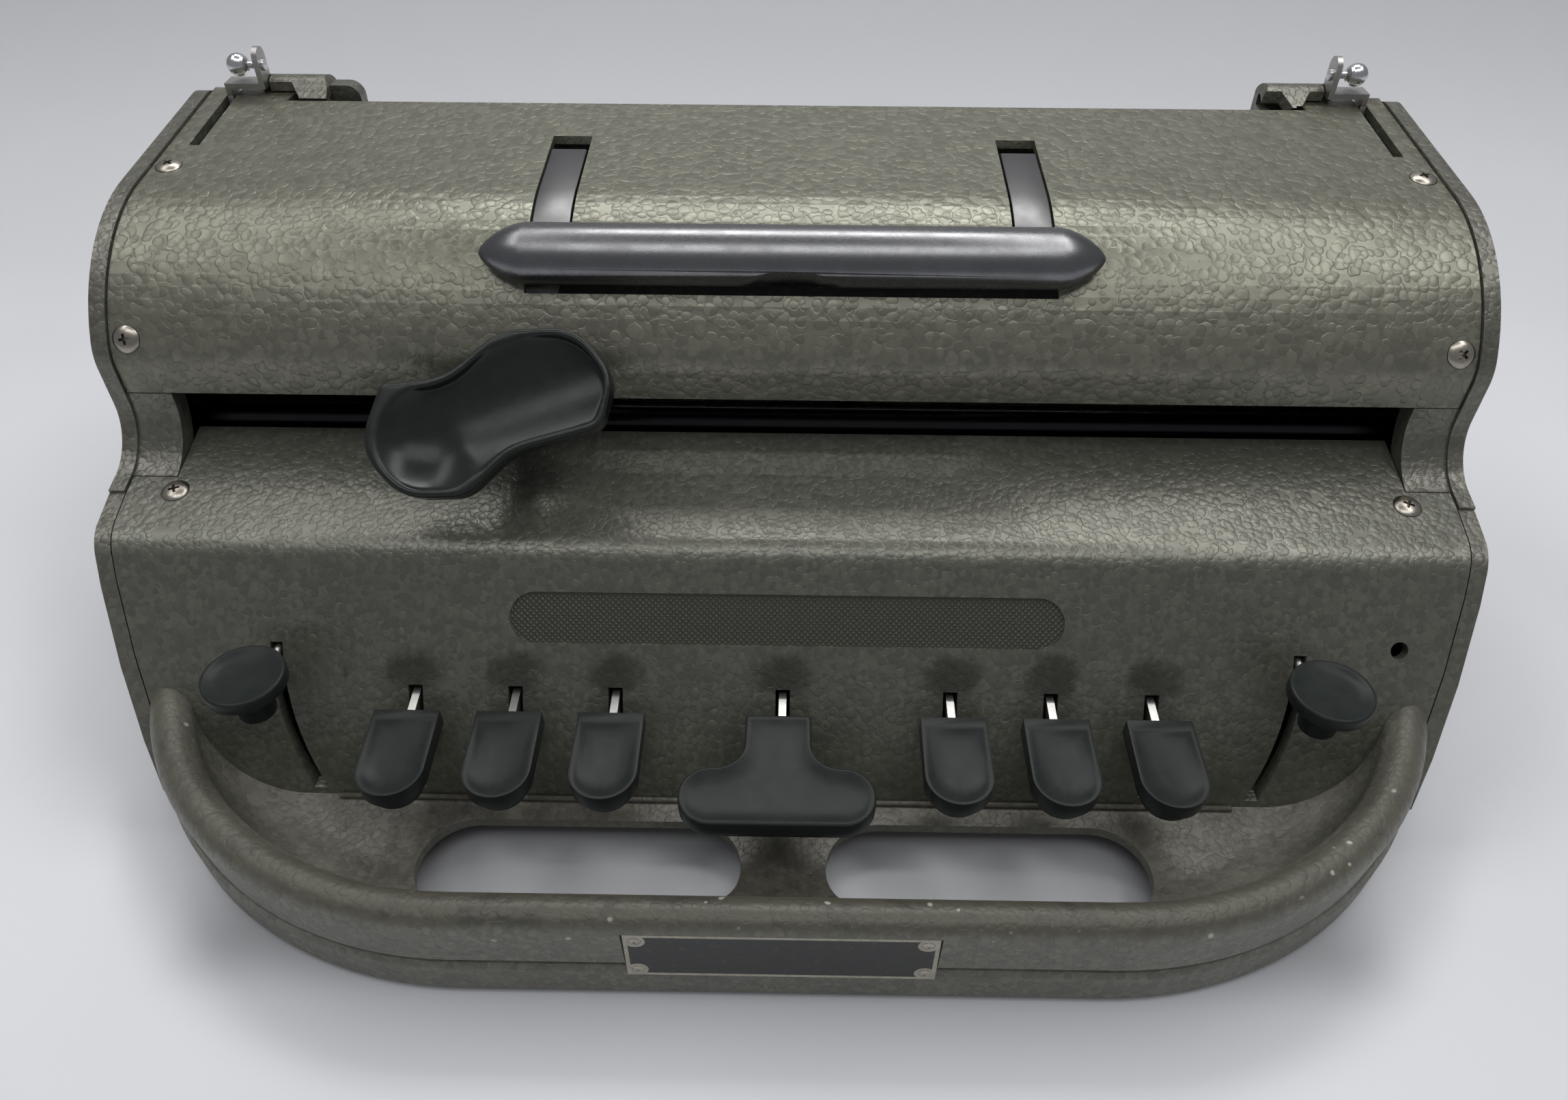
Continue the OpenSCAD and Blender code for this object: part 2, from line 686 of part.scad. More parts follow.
window_z = [margin_at.y - 5, margin_at.y + 5];
window_x = 130;
vent_pitch = 12;
module rear_cover() {
    color([0.36, 0.37, 0.33]) difference() {
        union() {
            translate([-wall_in + gap, rear_cover_y, floor_z + gap])
                cube([2 * (wall_in - gap), rear_cover_t, 104 - gap - floor_z - gap]);
            translate([-hood_x[0] + 2, rear_cover_y, 90]) cube([2 * (hood_x[0] - 2), rear_cover_t, 28]);
            // foot on the floor
            translate([-wall_in + 10, rear_cover_y - 9, floor_z + gap])
                cube([2 * (wall_in - 10), 9 + eps, rear_cover_t]);
        }
        translate([-window_x, rear_cover_y - 5, window_z[0]])
            cube([2 * window_x, 10, window_z[1] - window_z[0]]);
        for (i = [-10:10]) translate([i * vent_pitch - 3, rear_cover_y - 5, 22]) cube([6, 10, 16]);
    }
}
table_z = 112;
module paper_table() {
    color([0.30, 0.31, 0.28]) along_x(-window_x, window_x) polygon([[103.6, 131], [105.2, 131],
        [99.4, table_z], [rear_cover_y - gap, table_z], [rear_cover_y - gap, table_z - 1.6],
        [97.4, table_z - 1.6]]);
}

// ---- carriage rails and rack ----
module front_rail() {
    color([0.08, 0.08, 0.08]) x_rod(front_rail_d / 2, -rod_x, rod_x, front_rail_at.x, front_rail_at.y);
}
module rear_rail() {
    color([0.6, 0.6, 0.6]) x_rod(rear_rail_d / 2, -rod_x, rod_x, rear_rail_at.x, rear_rail_at.y);
}
rack_y = [54, 56];
rack_z = 60;
module escapement_rack() {
    teeth = cells + 2;
    x0 = -teeth * cell_pitch / 2;
    color([0.55, 0.54, 0.5]) {
        along_y(rack_y[0], rack_y[1]) polygon(concat(
            [for (i = [0:teeth - 1]) for (p = [[0, 0], [cell_pitch * 0.8, 3]])
                [x0 + i * cell_pitch + p.x, rack_z + p.y]],
            [[x0 + teeth * cell_pitch, rack_z], [x0 + teeth * cell_pitch, rack_z - 8],
             [x0, rack_z - 8]]));
        both_sides() translate([-x0 - 1, rack_y[0], rack_z - 8])
            cube([inner_x - gap + x0 + 1, rack_y[1] - rack_y[0], 6]);
    }
}

// ---- key shaft, comb and springs ----
module key_shaft() {
    color([0.6, 0.6, 0.6]) x_rod(key_shaft_d / 2, -rod_x, rod_x, key_pivot.x, key_pivot.y);
}
comb_y = -14;
module key_guide_comb() {
    color([0.5, 0.5, 0.48]) difference() {
        translate([-115, comb_y, floor_z]) union() {
            cube([230, 2, 26]);
            cube([230, 12, 2]);
        }
        for (x = concat([key_mid], key_x)) translate([x - lever_t / 2 - 0.5, comb_y - 1, floor_z + 5])
            cube([lever_t + 1, 4, 40]);
    }
}
// Torsion springs on the key shaft, beside the levers' hubs
module key_springs() {
    color([0.65, 0.65, 0.65]) for (x = concat([key_mid], key_x)) difference() {
        x_rod(key_shaft_d / 2 + 1.8, x + lever_t / 2 + gap, x + lever_t / 2 + gap + 8,
            key_pivot.x, key_pivot.y);
        x_rod(key_shaft_d / 2 + 0.4, x, x + 20, key_pivot.x, key_pivot.y);
    }
}

// ---- handle ----
scallop_d = 1.2;
module bar_section(k) {
    scale_w = bar_w / 2 * k;
    scale_t = bar_t / 2 * k;
    polygon([for (a = [0:10:350]) let (c = cos(a), s = sin(a))
        [scale_w * sign(c) * pow(abs(c), 0.9), scale_t * sign(s) * pow(abs(s), 0.9)]]);
}
module handle() {
    straight = handle_l / 2 - tip_l;
    color([0.45, 0.45, 0.47]) difference() {
        union() {
            bar_frame() rotate([90, 0, 90]) translate([0, 0, -straight])
                linear_extrude(2 * straight) bar_section(1);
            // pointed ends, clear of the cover
            both_sides() difference() {
                bar_frame() rotate([90, 0, 90]) translate([0, 0, straight])
                    linear_extrude(tip_l, scale = 0.12) bar_section(1);
                along_x(straight - 1, half_w) side_outline(gap);
            }
            both_sides() along_x(arm_x - arm_w / 2, arm_x + arm_w / 2) difference() {
                union() {
                    sheet([[brow_low, 0], [brow_high, brow_r],
                        [[handle_pivot.x, top_at(handle_pivot.x)], 0]], arm_t);
                    translate(handle_pivot) circle(top_at(handle_pivot.x) - handle_pivot.y);
                }
                translate(bar_at) rotate(bar_a - 90) translate([-100, -100]) square([100, 200]);
            }
        }
        both_sides() x_rod(handle_pin_d / 2 + run_fit, arm_x - arm_w, arm_x + arm_w,
            handle_pivot.x, handle_pivot.y);
        // finger scallop under the front of the bar
        bar_frame() translate([0, -bar_w / 2, -bar_t]) linear_extrude(2 * bar_t)
            polygon([[-21, -2], [-15, scallop_d], [15, scallop_d], [21, -2]]);
    }
}
ear_t = 3;
ear_gap = 0.5;
beam_z = [108, 112];
module handle_beam() {
    color([0.4, 0.4, 0.38]) difference() {
        union() {
            translate([-inner_x + gap, handle_pivot.x - 10, beam_z[0]])
                cube([2 * (inner_x - gap), 14, beam_z[1] - beam_z[0]]);
            both_sides() for (s = [-1, 1])
                translate([arm_x + s * (arm_w / 2 + ear_gap + ear_t / 2) - ear_t / 2, 0, 0])
                    along_x(0, ear_t) union() {
                        translate([handle_pivot.x - 3.6, beam_z[1] - 1])
                            square([7.2, handle_pivot.y - beam_z[1] + 1]);
                        translate(handle_pivot) circle(3.6);
                    }
        }
        both_sides() x_rod(handle_pin_d / 2 + run_fit, arm_x - 20, arm_x + 20,
            handle_pivot.x, handle_pivot.y);
    }
}
module handle_pins() {
    reach = arm_w / 2 + ear_gap + ear_t + 0.5;
    color([0.6, 0.6, 0.6]) both_sides()
        x_rod(handle_pin_d / 2, arm_x - reach, arm_x + reach, handle_pivot.x, handle_pivot.y);
}

// ---- carriage ----
block_w = 44;
block_y = [16, 51];
block_z = [63, 81.6];
lever_pivot = [34, 85.5];
lever_pin_r = 2;
lever_arm_w = 8;
ear_w = 3;
module carriage_block() {
    color([0.3, 0.3, 0.3]) translate([carriage_x, 0, 0]) difference() {
        union() {
            translate([-block_w / 2, block_y[0], block_z[0]])
                cube([block_w, block_y[1] - block_y[0], block_z[1] - block_z[0]]);
            for (s = [-1, 1]) translate([s * (lever_arm_w / 2 + 0.5 + ear_w / 2) - ear_w / 2, 0, 0])
                along_x(0, ear_w) union() {
                    translate([lever_pivot.x - 5, block_z[1] - 1]) square([10, 6.5]);
                    translate(lever_pivot) circle(5);
                }
        }
        x_rod(front_rail_d / 2 + run_fit, -block_w, block_w, front_rail_at.x, front_rail_at.y);
        x_rod(rear_rail_d / 2 + run_fit, -block_w, block_w, rear_rail_at.x, rear_rail_at.y);
        x_rod(lever_pin_r + run_fit, -20, 20, lever_pivot.x, lever_pivot.y);
        translate([-block_w / 2 + 6, block_y[0] + 12, block_z[0] - 1])
            cube([block_w - 12, 10, 8]);
    }
}
head_y = [40, 51];
pin_r = 0.8;
pin_pitch = 2.5;
module embossing_head() {
    color([0.5, 0.5, 0.5]) translate([carriage_x, 0, 0]) difference() {
        union() {
            translate([-10, head_y[0], block_z[1]]) cube([20, head_y[1] - head_y[0], 22]);
            translate([-16, head_y[0] + 2, block_z[1]]) cube([32, 7, 4]);
        }
        // throat that the paper runs through
        translate([-11, head_y[0] + 4.5, block_z[1] + 12]) cube([22, 20, 2]);
        for (x = [-1, 1], z = [-1, 0, 1]) y_rod(pin_r + run_fit, head_y[0] - 1, head_y[1] + 1,
            x * pin_pitch, block_z[1] + 6 + z * pin_pitch);
    }
}
module embossing_pins() {
    color([0.8, 0.78, 0.7]) translate([carriage_x, 0, 0]) for (x = [-1, 1], z = [-1, 0, 1])
        y_rod(pin_r, head_y[0] - 1.5, head_y[1] + 0.5, x * pin_pitch, block_z[1] + 6 + z * pin_pitch);
}
module carriage_lever_pin() {
    reach = lever_arm_w / 2 + 0.5 + ear_w + 0.6;
    color([0.7, 0.7, 0.7]) x_rod(lever_pin_r, carriage_x - reach, carriage_x + reach,
        lever_pivot.x, lever_pivot.y);
}
thumb_at = [carriage_x, -8.2, 99];
thumb_a = 44;                       // tilt of the thumb piece from flat
thumb_t = 7;
function thumb_point(s, h) = [thumb_at.y, thumb_at.z]
    + s * [cos(thumb_a), sin(thumb_a)] + h * [-sin(thumb_a), cos(thumb_a)];
module thumb_frame() {
    translate(thumb_at) rotate([thumb_a, 0, 0]) children();
}
arm_z = [lever_pivot.y - 2.2, lever_pivot.y + 1.5];
arm_bend = 7;                       // where the arm turns up to the thumb piece
module carriage_lever_arm() {
    color([0.35, 0.35, 0.34]) along_x(carriage_x - lever_arm_w / 2, carriage_x + lever_arm_w / 2)
        difference() {
            union() {
                translate(lever_pivot) circle(3.4);
                polygon([[lever_pivot.x, arm_z[0]], [lever_pivot.x, arm_z[1]], [arm_bend, arm_z[1]],
                    thumb_point(6, -thumb_t / 2), thumb_point(-9, -thumb_t / 2), [arm_bend, arm_z[0]]]);
            }
            translate(lever_pivot) circle(lever_pin_r + run_fit);
        }
}
thumb_path = [[[-26.4, 6.5], 1.5], [[-31.5, -10], 12], [[-20.5, -22.3], 13], [[-4, -21.8], 9],
    [[7, -10.5], 16], [[29.5, -4], 5], [[32.4, 9], 10], [[23, 21.5], 14], [[3, 20.6], 14],
    [[-11, 7.8], 18]];
module carriage_thumb_piece() {
    color([0.16, 0.18, 0.17]) thumb_frame() translate([0, 0, -thumb_t / 2]) difference() {
        linear_extrude(thumb_t) polygon(rounded(thumb_path, true));
        intersection() {
            translate([0, 0, 1.6]) linear_extrude(thumb_t)
                polygon(rounded(shifted_closed(thumb_path, 2.2), true));
            union() {
                translate([-13, -7.5, 21.4]) sphere(r = 20, $fn = 96);
                translate([-10, -4, 25.6]) rotate([0, 0, 20]) rotate([0, 90, 0])
                    cylinder(r = 24, h = 60, $fn = 96);
            }
        }
    }
}
// The same for a closed outline that runs clockwise or anticlockwise: moved to its left by s
function shifted_closed(path, s) =
    let (n = len(path), pt = [for (c = path) c[0]],
         dir = [for (i = [0:n - 1]) unit(pt[(i + 1) % n] - pt[i])])
    [for (i = [0:n - 1])
        let (a = dir[(i + n - 1) % n], b = dir[i], turn = cross2(a, b))
        [meet(pt[i] + left_of(a) * s, a, pt[i] + left_of(b) * s, b),
         max(0.3, path[i][1] - s * sign(turn))]];

// ---- feed drum and knobs ----
module feed_drum() {
    color([0.25, 0.25, 0.25]) union() {
        x_rod(drum_d / 2, -drum_l / 2, drum_l / 2, drum_at.x, drum_at.y);
        x_rod(drum_shaft_d / 2, -half_w - 10, half_w + 10, drum_at.x, drum_at.y);
    }
}
ratchet_x = drum_l / 2 + 4;
ratchet_teeth = 18;
module line_ratchet() {
    color([0.6, 0.58, 0.5]) translate([ratchet_x, drum_at.x, drum_at.y]) rotate([0, 90, 0])
        linear_extrude(3) difference() {
            polygon([for (i = [0:ratchet_teeth - 1]) for (p = [[13, 0], [11, 360 / ratchet_teeth * 0.75]])
                p[0] * [cos(i * 360 / ratchet_teeth + p[1]), sin(i * 360 / ratchet_teeth + p[1])]]);
            circle(drum_shaft_d / 2 + run_fit);
        }
}
module feed_knob() {
    x0 = half_w + 0.6;
    translate([x0, drum_at.x, drum_at.y]) rotate([0, 90, 0]) difference() {
        union() {
            cylinder(r = knob_hub_r, h = 3);
            translate([0, 0, 2.4]) linear_extrude(knob_out - 4) difference() {
                circle(knob_d / 2);
                for (i = [0:knob_flutes - 1]) rotate(i * 360 / knob_flutes)
                    translate([knob_d / 2 + 0.9, 0]) circle(1.8, $fn = 24);
            }
            translate([0, 0, knob_out - 1.6]) cylinder(r1 = knob_d / 2 - 1.2, r2 = knob_d / 2 - 3, h = 1);
        }
        translate([0, 0, -1]) cylinder(r = drum_shaft_d / 2 + run_fit, h = 12);
    }
}
module left_feed_knob() {
    color([0.12, 0.12, 0.12]) mirror([1, 0, 0]) feed_knob();
}
module right_feed_knob() {
    color([0.12, 0.12, 0.12]) feed_knob();
}

// ---- paper release ----
module release_lever() {
    color([0.5, 0.5, 0.5]) difference() {
        union() {
            along_x(release_x - release_t / 2, release_x + release_t / 2) union() {
                translate(release_pivot) circle(6);
                polygon([release_pivot + [-4, 0], release_pivot + [4, 0],
                    release_foot + [strip_r, -2], release_foot + [strip_r, release_t],
                    release_foot + [-strip_r, release_t], release_foot + [-strip_r, -2]]);
            }
            translate([release_top_x - release_t / 2, release_foot.x - strip_r, release_foot.y])
                cube([release_x - release_top_x + release_t, 2 * strip_r, release_t]);
            along_x(release_top_x - release_t / 2, release_top_x + release_t / 2) union() {
                translate([release_foot.x - strip_r, release_foot.y])
                    square([2 * strip_r, release_tip_z - strip_r - release_foot.y]);
                translate([release_foot.x, release_tip_z - strip_r]) circle(strip_r);
            }
        }
        x_rod(release_pin_r + run_fit, release_x - 5, release_x + 5, release_pivot.x, release_pivot.y);
        x_rod(ball_pin_r + run_fit, release_top_x - 5, release_top_x + 5, release_foot.x, ball_z);
    }
}
module left_release_lever() {
    mirror([1, 0, 0]) release_lever();
}
module right_release_lever() {
    release_lever();
}
// Ball on a neck, riveted through the lever's upright end
module release_ball() {
    neck = 1.1;
    x = [release_top_x - release_t / 2, release_top_x + release_t / 2];
    a0 = 180 - asin(neck / (ball_d / 2));
    color([0.75, 0.75, 0.76]) translate([0, release_foot.x, ball_z]) rotate([0, 90, 0])
        rotate_extrude() polygon(concat([[0, x[0] - 1], [1.6, x[0] - 0.7], [1.7, x[0]],
            [ball_pin_r, x[0]], [ball_pin_r, x[1]], [1.7, x[1]], [neck, x[1] + 1.4]],
            [for (k = [0:12]) let (a = a0 * (1 - k / 12))
                [ball_d / 2 * sin(a), release_ball_x + ball_d / 2 * cos(a)]]));
}
module left_release_ball() {
    mirror([1, 0, 0]) release_ball();
}
module right_release_ball() {
    release_ball();
}
module release_pins() {
    color([0.6, 0.6, 0.6]) both_sides()
        x_rod(release_pin_r, release_x - 4, inner_x, release_pivot.x, release_pivot.y);
}

// ---- margin stops and bell ----
module margin_rod() {
    color([0.6, 0.6, 0.6]) x_rod(margin_rod_r, -rod_x, rod_x, margin_at.x, margin_at.y);
}
stop_x = 118;
module margin_stop(x) {
    color([0.3, 0.3, 0.3]) difference() {
        union() {
            x_rod(6, x - 5, x + 5, margin_at.x, margin_at.y);
            translate([x - 3, margin_at.x, margin_at.y - 2]) cube([6, rear_y - margin_at.x, 4]);
        }
        x_rod(margin_rod_r + run_fit, x - 6, x + 6, margin_at.x, margin_at.y);
    }
}
module left_margin_stop() {
    margin_stop(-stop_x);
}
module right_margin_stop() {
    margin_stop(stop_x);
}
module bell() {
    color([0.72, 0.66, 0.45]) translate(bell_at) union() {
        difference() {
            sphere(r = bell_r, $fn = 72);
            sphere(r = bell_r - 1.4, $fn = 72);
            translate([0, 0, -bell_r - 3]) cube([60, 60, 2 * bell_r], center = true);
        }
        translate([0, 0, floor_z - bell_at.z]) cylinder(r = 2.5, h = bell_at.z + bell_r - floor_z - 1);
    }
}
// Clapper that swings on the key shaft
module bell_hammer() {
    color([0.6, 0.6, 0.6]) difference() {
        union() {
            x_rod(6, bell_at.x - 2, bell_at.x + 2, key_pivot.x, key_pivot.y);
            along_x(bell_at.x - 1.2, bell_at.x + 1.2) polygon([[key_pivot.x - 2, key_pivot.y + 4],
                [key_pivot.x + 2, key_pivot.y + 4], [hammer_y + 1, hammer_z], [hammer_y - 1, hammer_z]]);
            translate([bell_at.x, hammer_y, hammer_z]) sphere(r = hammer_r);
        }
        x_rod(key_shaft_d / 2 + run_fit, bell_at.x - 5, bell_at.x + 5, key_pivot.x, key_pivot.y);
    }
}

// ---- keys ----
module key_lever(x) {
    color([0.55, 0.55, 0.53]) along_x(x - lever_t / 2, x + lever_t / 2) difference() {
        union() {
            translate(key_pivot) circle(6);
            polygon([lever_nose + [0, -nose_h / 2], [lever_rise.x - 2, lever_nose.y - nose_h / 2],
                [comb_y, 24.5], [key_pivot.x, key_pivot.y - 4], [key_pivot.x, key_pivot.y + 5],
                [comb_y, 34.6], lever_rise, [cap_rear, lever_nose.y + nose_h / 2 + 0.8],
                lever_nose + [0, nose_h / 2]]);
        }
        translate(key_pivot) circle(key_shaft_d / 2 + run_fit);
    }
}
module cap_outline(w, l) {
    union() {
        translate([-w / 2, -l + w / 2]) square([w, l - w / 2]);
        translate([0, -l + w / 2]) circle(w / 2, $fn = 64);
    }
}
module cap_frame(x) {
    translate([x, cap_rear, cap_top]) rotate([cap_tilt, 0, 0]) children();
}
module lever_socket(x) {
    translate([x - lever_t / 2 - run_fit, lever_nose.x - run_fit, lever_nose.y - nose_h / 2 - run_fit])
        cube([lever_t + 2 * run_fit, 60, nose_h + 1]);
}
module key_cap(x) {
    color([0.22, 0.25, 0.24]) difference() {
        cap_frame(x) difference() {
            union() {
                translate([0, 0, -cap_t * 0.55]) linear_extrude(cap_t * 0.55) cap_outline(cap_w, cap_l);
                translate([0, -tier_rear, -cap_t]) linear_extrude(cap_t * 0.55)
                    cap_outline(cap_w - 2 * tier_in, cap_l - tier_in - tier_rear);
            }
            // dished face inside a rim
            intersection() {
                translate([0, -1.4, -2]) linear_extrude(4) cap_outline(cap_w - 2.4, cap_l - 2.6);
                translate([0, 0, 17]) rotate([90, 0, 0]) cylinder(r = 18.6, h = 80, center = true, $fn = 96);
            }
        }
        lever_socket(x);
    }
}
space_d = 16.4;                     // depth of the space key's bar
neck_l = 16;                        // length of the stem behind it
module space_cap() {
    color([0.22, 0.25, 0.24]) difference() {
        cap_frame(key_mid - 0.9) difference() {
            union() {
                translate([0, 0, -cap_t * 0.55]) linear_extrude(cap_t * 0.55) space_outline(0, 0);
                translate([0, 0, -cap_t]) linear_extrude(cap_t * 0.55) space_outline(tier_in, tier_rear);
            }
            intersection() {
                translate([0, 0, -2]) linear_extrude(4) union() {
                    translate([-cap_w / 2 + 1.2, -neck_l]) square([cap_w - 2.4, neck_l - 1.2]);
                    translate([-space_w / 2 + 3, -neck_l - space_d + 1.2]) square([space_w - 6, space_d - 2.4]);
                }
                union() {
                    translate([0, 0, 17]) rotate([90, 0, 0])
                        cylinder(r = 18.2, h = 2 * neck_l, center = true, $fn = 96);
                    translate([0, -neck_l - space_d / 2, 27]) rotate([0, 90, 0])
                        cylinder(r = 28, h = space_w, center = true, $fn = 96);
                }
            }
        }
        lever_socket(key_mid);
    }
}
module space_outline(s, rear) {
    r = space_d / 2 - s;
    union() {
        translate([-cap_w / 2 + s, -neck_l - 2]) square([cap_w - 2 * s, neck_l + 2 - rear]);
        translate([-space_w / 2 + space_d / 2, -neck_l - space_d + s])
            square([space_w - space_d, space_d - 2 * s]);
        for (x = [-1, 1]) translate([x * (space_w - space_d) / 2, -neck_l - space_d / 2]) circle(r);
    }
}
module spacer_lever() {
    arm = spacer_x + spacer_r;
    color([0.55, 0.55, 0.53]) difference() {
        union() {
            along_y(spacer_plate_y, spacer_plate_y + spacer_plate_t) union() {
                translate([spacer_x, spacer_z]) circle(6);
                translate([spacer_x, spacer_z - 3]) square([spacer_r, 6]);
                translate([arm, spacer_z]) circle(3);
            }
            y_rod(wire_r, disc_y, spacer_plate_y + eps, arm, spacer_z);
        }
        y_rod(spacer_pin_r + run_fit, spacer_plate_y - 2, spacer_plate_y + 6, spacer_x, spacer_z);
    }
}
module spacer_disc() {
    x = spacer_x + spacer_r;
    color([0.22, 0.25, 0.24]) difference() {
        union() {
            translate([x, disc_y, disc_top]) mirror([0, 0, 1]) rotate_extrude() polygon([[0, 0.5],
                [disc_d / 2 - 2.5, 0.4], [disc_d / 2 - 1, 0], [disc_d / 2, 0.8], [disc_d / 2, 3],
                [disc_d / 2 - 0.8, 3.8], [0, 3.8]]);
            translate([x, disc_y, disc_top - stem_l]) cylinder(r1 = stem_r - 0.5, r2 = stem_r, h = stem_l - 3);
        }
        y_rod(wire_r + run_fit, disc_y - 0.1, disc_y + 20, x, spacer_z);
    }
}
module line_space_lever() {
    mirror([1, 0, 0]) spacer_lever();
}
module back_space_lever() {
    spacer_lever();
}
module line_space_disc() {
    mirror([1, 0, 0]) spacer_disc();
}
module back_space_disc() {
    spacer_disc();
}
module spacer_pins() {
    color([0.6, 0.6, 0.6]) both_sides() {
        y_rod(spacer_pin_r, spacer_plate_y - 1, post_y, spacer_x, spacer_z);
        translate([spacer_x - 3, post_y - eps, floor_z]) cube([6, 3, spacer_z - floor_z + 3]);
    }
}

base_casting();
bottom_plate();
rubber_feet();
left_side_casting();
right_side_casting();
front_panel();
top_cover();
rear_cover();
paper_table();
name_plate();
plate_rivets();
casing_screws();
front_rail();
rear_rail();
escapement_rack();
key_shaft();
key_guide_comb();
key_springs();
handle_beam();
handle_pins();
release_pins();
margin_rod();
bell();
spacer_pins();
handle();
carriage_block();
embossing_head();
embossing_pins();
carriage_lever_arm();
carriage_lever_pin();
carriage_thumb_piece();
feed_drum();
line_ratchet();
left_feed_knob();
right_feed_knob();
left_release_lever();
right_release_lever();
left_release_ball();
right_release_ball();
left_margin_stop();
right_margin_stop();
bell_hammer();
for (i = [1:6]) key_lever(dot_x[i - 1]);
for (i = [1:6]) key_cap(dot_x[i - 1]);
key_lever(key_mid);  // space_lever
space_cap();
line_space_lever();
line_space_disc();
back_space_lever();
back_space_disc();
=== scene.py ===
import math

import bmesh
import bpy
from mathutils import Matrix, Vector


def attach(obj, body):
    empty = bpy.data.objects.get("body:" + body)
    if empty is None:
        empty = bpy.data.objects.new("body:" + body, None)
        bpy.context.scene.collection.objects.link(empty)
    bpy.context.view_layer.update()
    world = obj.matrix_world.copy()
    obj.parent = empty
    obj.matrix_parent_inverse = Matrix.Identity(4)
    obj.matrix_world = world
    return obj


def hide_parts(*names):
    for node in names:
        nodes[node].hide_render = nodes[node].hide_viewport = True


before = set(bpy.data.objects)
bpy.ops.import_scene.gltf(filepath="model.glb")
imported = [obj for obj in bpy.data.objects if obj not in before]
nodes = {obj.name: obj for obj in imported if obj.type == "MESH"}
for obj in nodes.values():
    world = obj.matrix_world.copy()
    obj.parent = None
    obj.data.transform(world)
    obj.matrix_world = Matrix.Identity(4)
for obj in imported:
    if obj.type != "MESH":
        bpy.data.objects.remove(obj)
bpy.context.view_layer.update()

MM = 0.001                             # sizes and places are written in millimetres, the scene is in metres
STRAIGHT = 0.9                         # a direction's share of an axis that counts as along it


# ---------------------------------------------------------------- modelling

def release():
    """Nothing stays selected, so an operator acts only on what comes next."""
    if bpy.context.object and bpy.context.object.mode != "OBJECT":
        bpy.ops.object.mode_set(mode="OBJECT")
    bpy.ops.object.select_all(action="DESELECT")


def activate(obj):
    release()
    obj.select_set(True)
    bpy.context.view_layer.objects.active = obj
    return obj


def begin(name, primitive, **settings):
    """Adds a primitive, to be shaped further."""
    release()
    primitive(**settings)
    obj = bpy.context.object
    obj.name = obj.data.name = name
    return obj


def block(name, low, high):
    """A box between two corners."""
    obj = begin(name, bpy.ops.mesh.primitive_cube_add, size=1)
    low, high = Vector(low) * MM, Vector(high) * MM
    obj.location = (low + high) / 2
    obj.scale = high - low
    return settle(obj)


def rod(name, radius, length, sides, **settings):
    """A round bar, upright unless turned."""
    return settle(begin(name, bpy.ops.mesh.primitive_cylinder_add, vertices=sides,
                        radius=radius * MM, depth=length * MM, **settings))


def settle(obj):
    """Places the object's turn, scale and position in its mesh."""
    activate(obj)
    bpy.ops.object.transform_apply(location=True, rotation=True, scale=True)
    return obj


def edit(obj):
    activate(obj)
    bpy.ops.object.mode_set(mode="EDIT")
    bpy.ops.mesh.select_all(action="DESELECT")


def leave(obj):
    bpy.ops.object.mode_set(mode="OBJECT")
    return obj


def pick(obj, kind, test):
    """Selects the vertices, edges or faces whose centre and direction pass the test."""
    mesh = bmesh.from_edit_mesh(obj.data)
    bpy.ops.mesh.select_all(action="DESELECT")
    bpy.context.tool_settings.mesh_select_mode = tuple(kind == k for k in ("VERT", "EDGE", "FACE"))
    if kind == "VERT":
        chosen = [v for v in mesh.verts if test(v.co / MM, v.normal)]
    elif kind == "EDGE":
        chosen = [e for e in mesh.edges
                  if test((e.verts[0].co + e.verts[1].co) / 2 / MM,
                          (e.verts[1].co - e.verts[0].co).normalized())]
    else:
        chosen = [f for f in mesh.faces if test(f.calc_center_median() / MM, f.normal)]
    for item in chosen:
        item.select_set(True)
    mesh.select_flush_mode()
    bmesh.update_edit_mesh(obj.data)


def extrude(*step):
    """Pulls what is selected out by a step."""
    bpy.ops.mesh.extrude_region_move(TRANSFORM_OT_translate={"value": tuple(s * MM for s in step)})


def inset(rim, rise=0.0):
    """Insets the selected face by a rim and raises it."""
    bpy.ops.mesh.inset(thickness=rim * MM, depth=rise * MM)


def modify(obj, kind, **settings):
    """Adds a modifier and applies it."""
    activate(obj)
    modifier = obj.modifiers.new(kind.title(), kind)
    for key, value in settings.items():
        setattr(modifier, key, value)
    bpy.ops.object.modifier_apply(modifier=modifier.name)
    return obj


def cut_away(obj, cutter):
    modify(obj, "BOOLEAN", operation="DIFFERENCE", object=cutter, solver="EXACT")
    bpy.data.objects.remove(cutter)


def melt(obj, grain, passes):
    """Rebuilds a mesh in even faces of one grain and rounds it over."""
    modify(obj, "REMESH", mode="VOXEL", voxel_size=grain * MM)
    modify(obj, "SMOOTH", factor=0.5, iterations=passes)


def soften(obj, width, segments, angle):
    """Rounds the edges that are sharper than an angle."""
    return modify(obj, "BEVEL", width=width * MM, segments=segments,
                  limit_method="ANGLE", angle_limit=math.radians(angle))


def outward(obj):
    edit(obj)
    bpy.ops.mesh.select_all(action="SELECT")
    bpy.ops.mesh.remove_doubles(threshold=1e-6)
    bpy.ops.mesh.normals_make_consistent(inside=False)
    return leave(obj)


def smooth(obj, angle):
    activate(obj)
    bpy.ops.object.shade_smooth_by_angle(angle=math.radians(angle))
    return obj


def placed(at, lean=0.0):
    """A matrix that leans a piece back and then sets it in its place."""
    return Matrix.Translation(Vector(at) * MM) @ Matrix.Rotation(math.radians(lean), 4, "X")


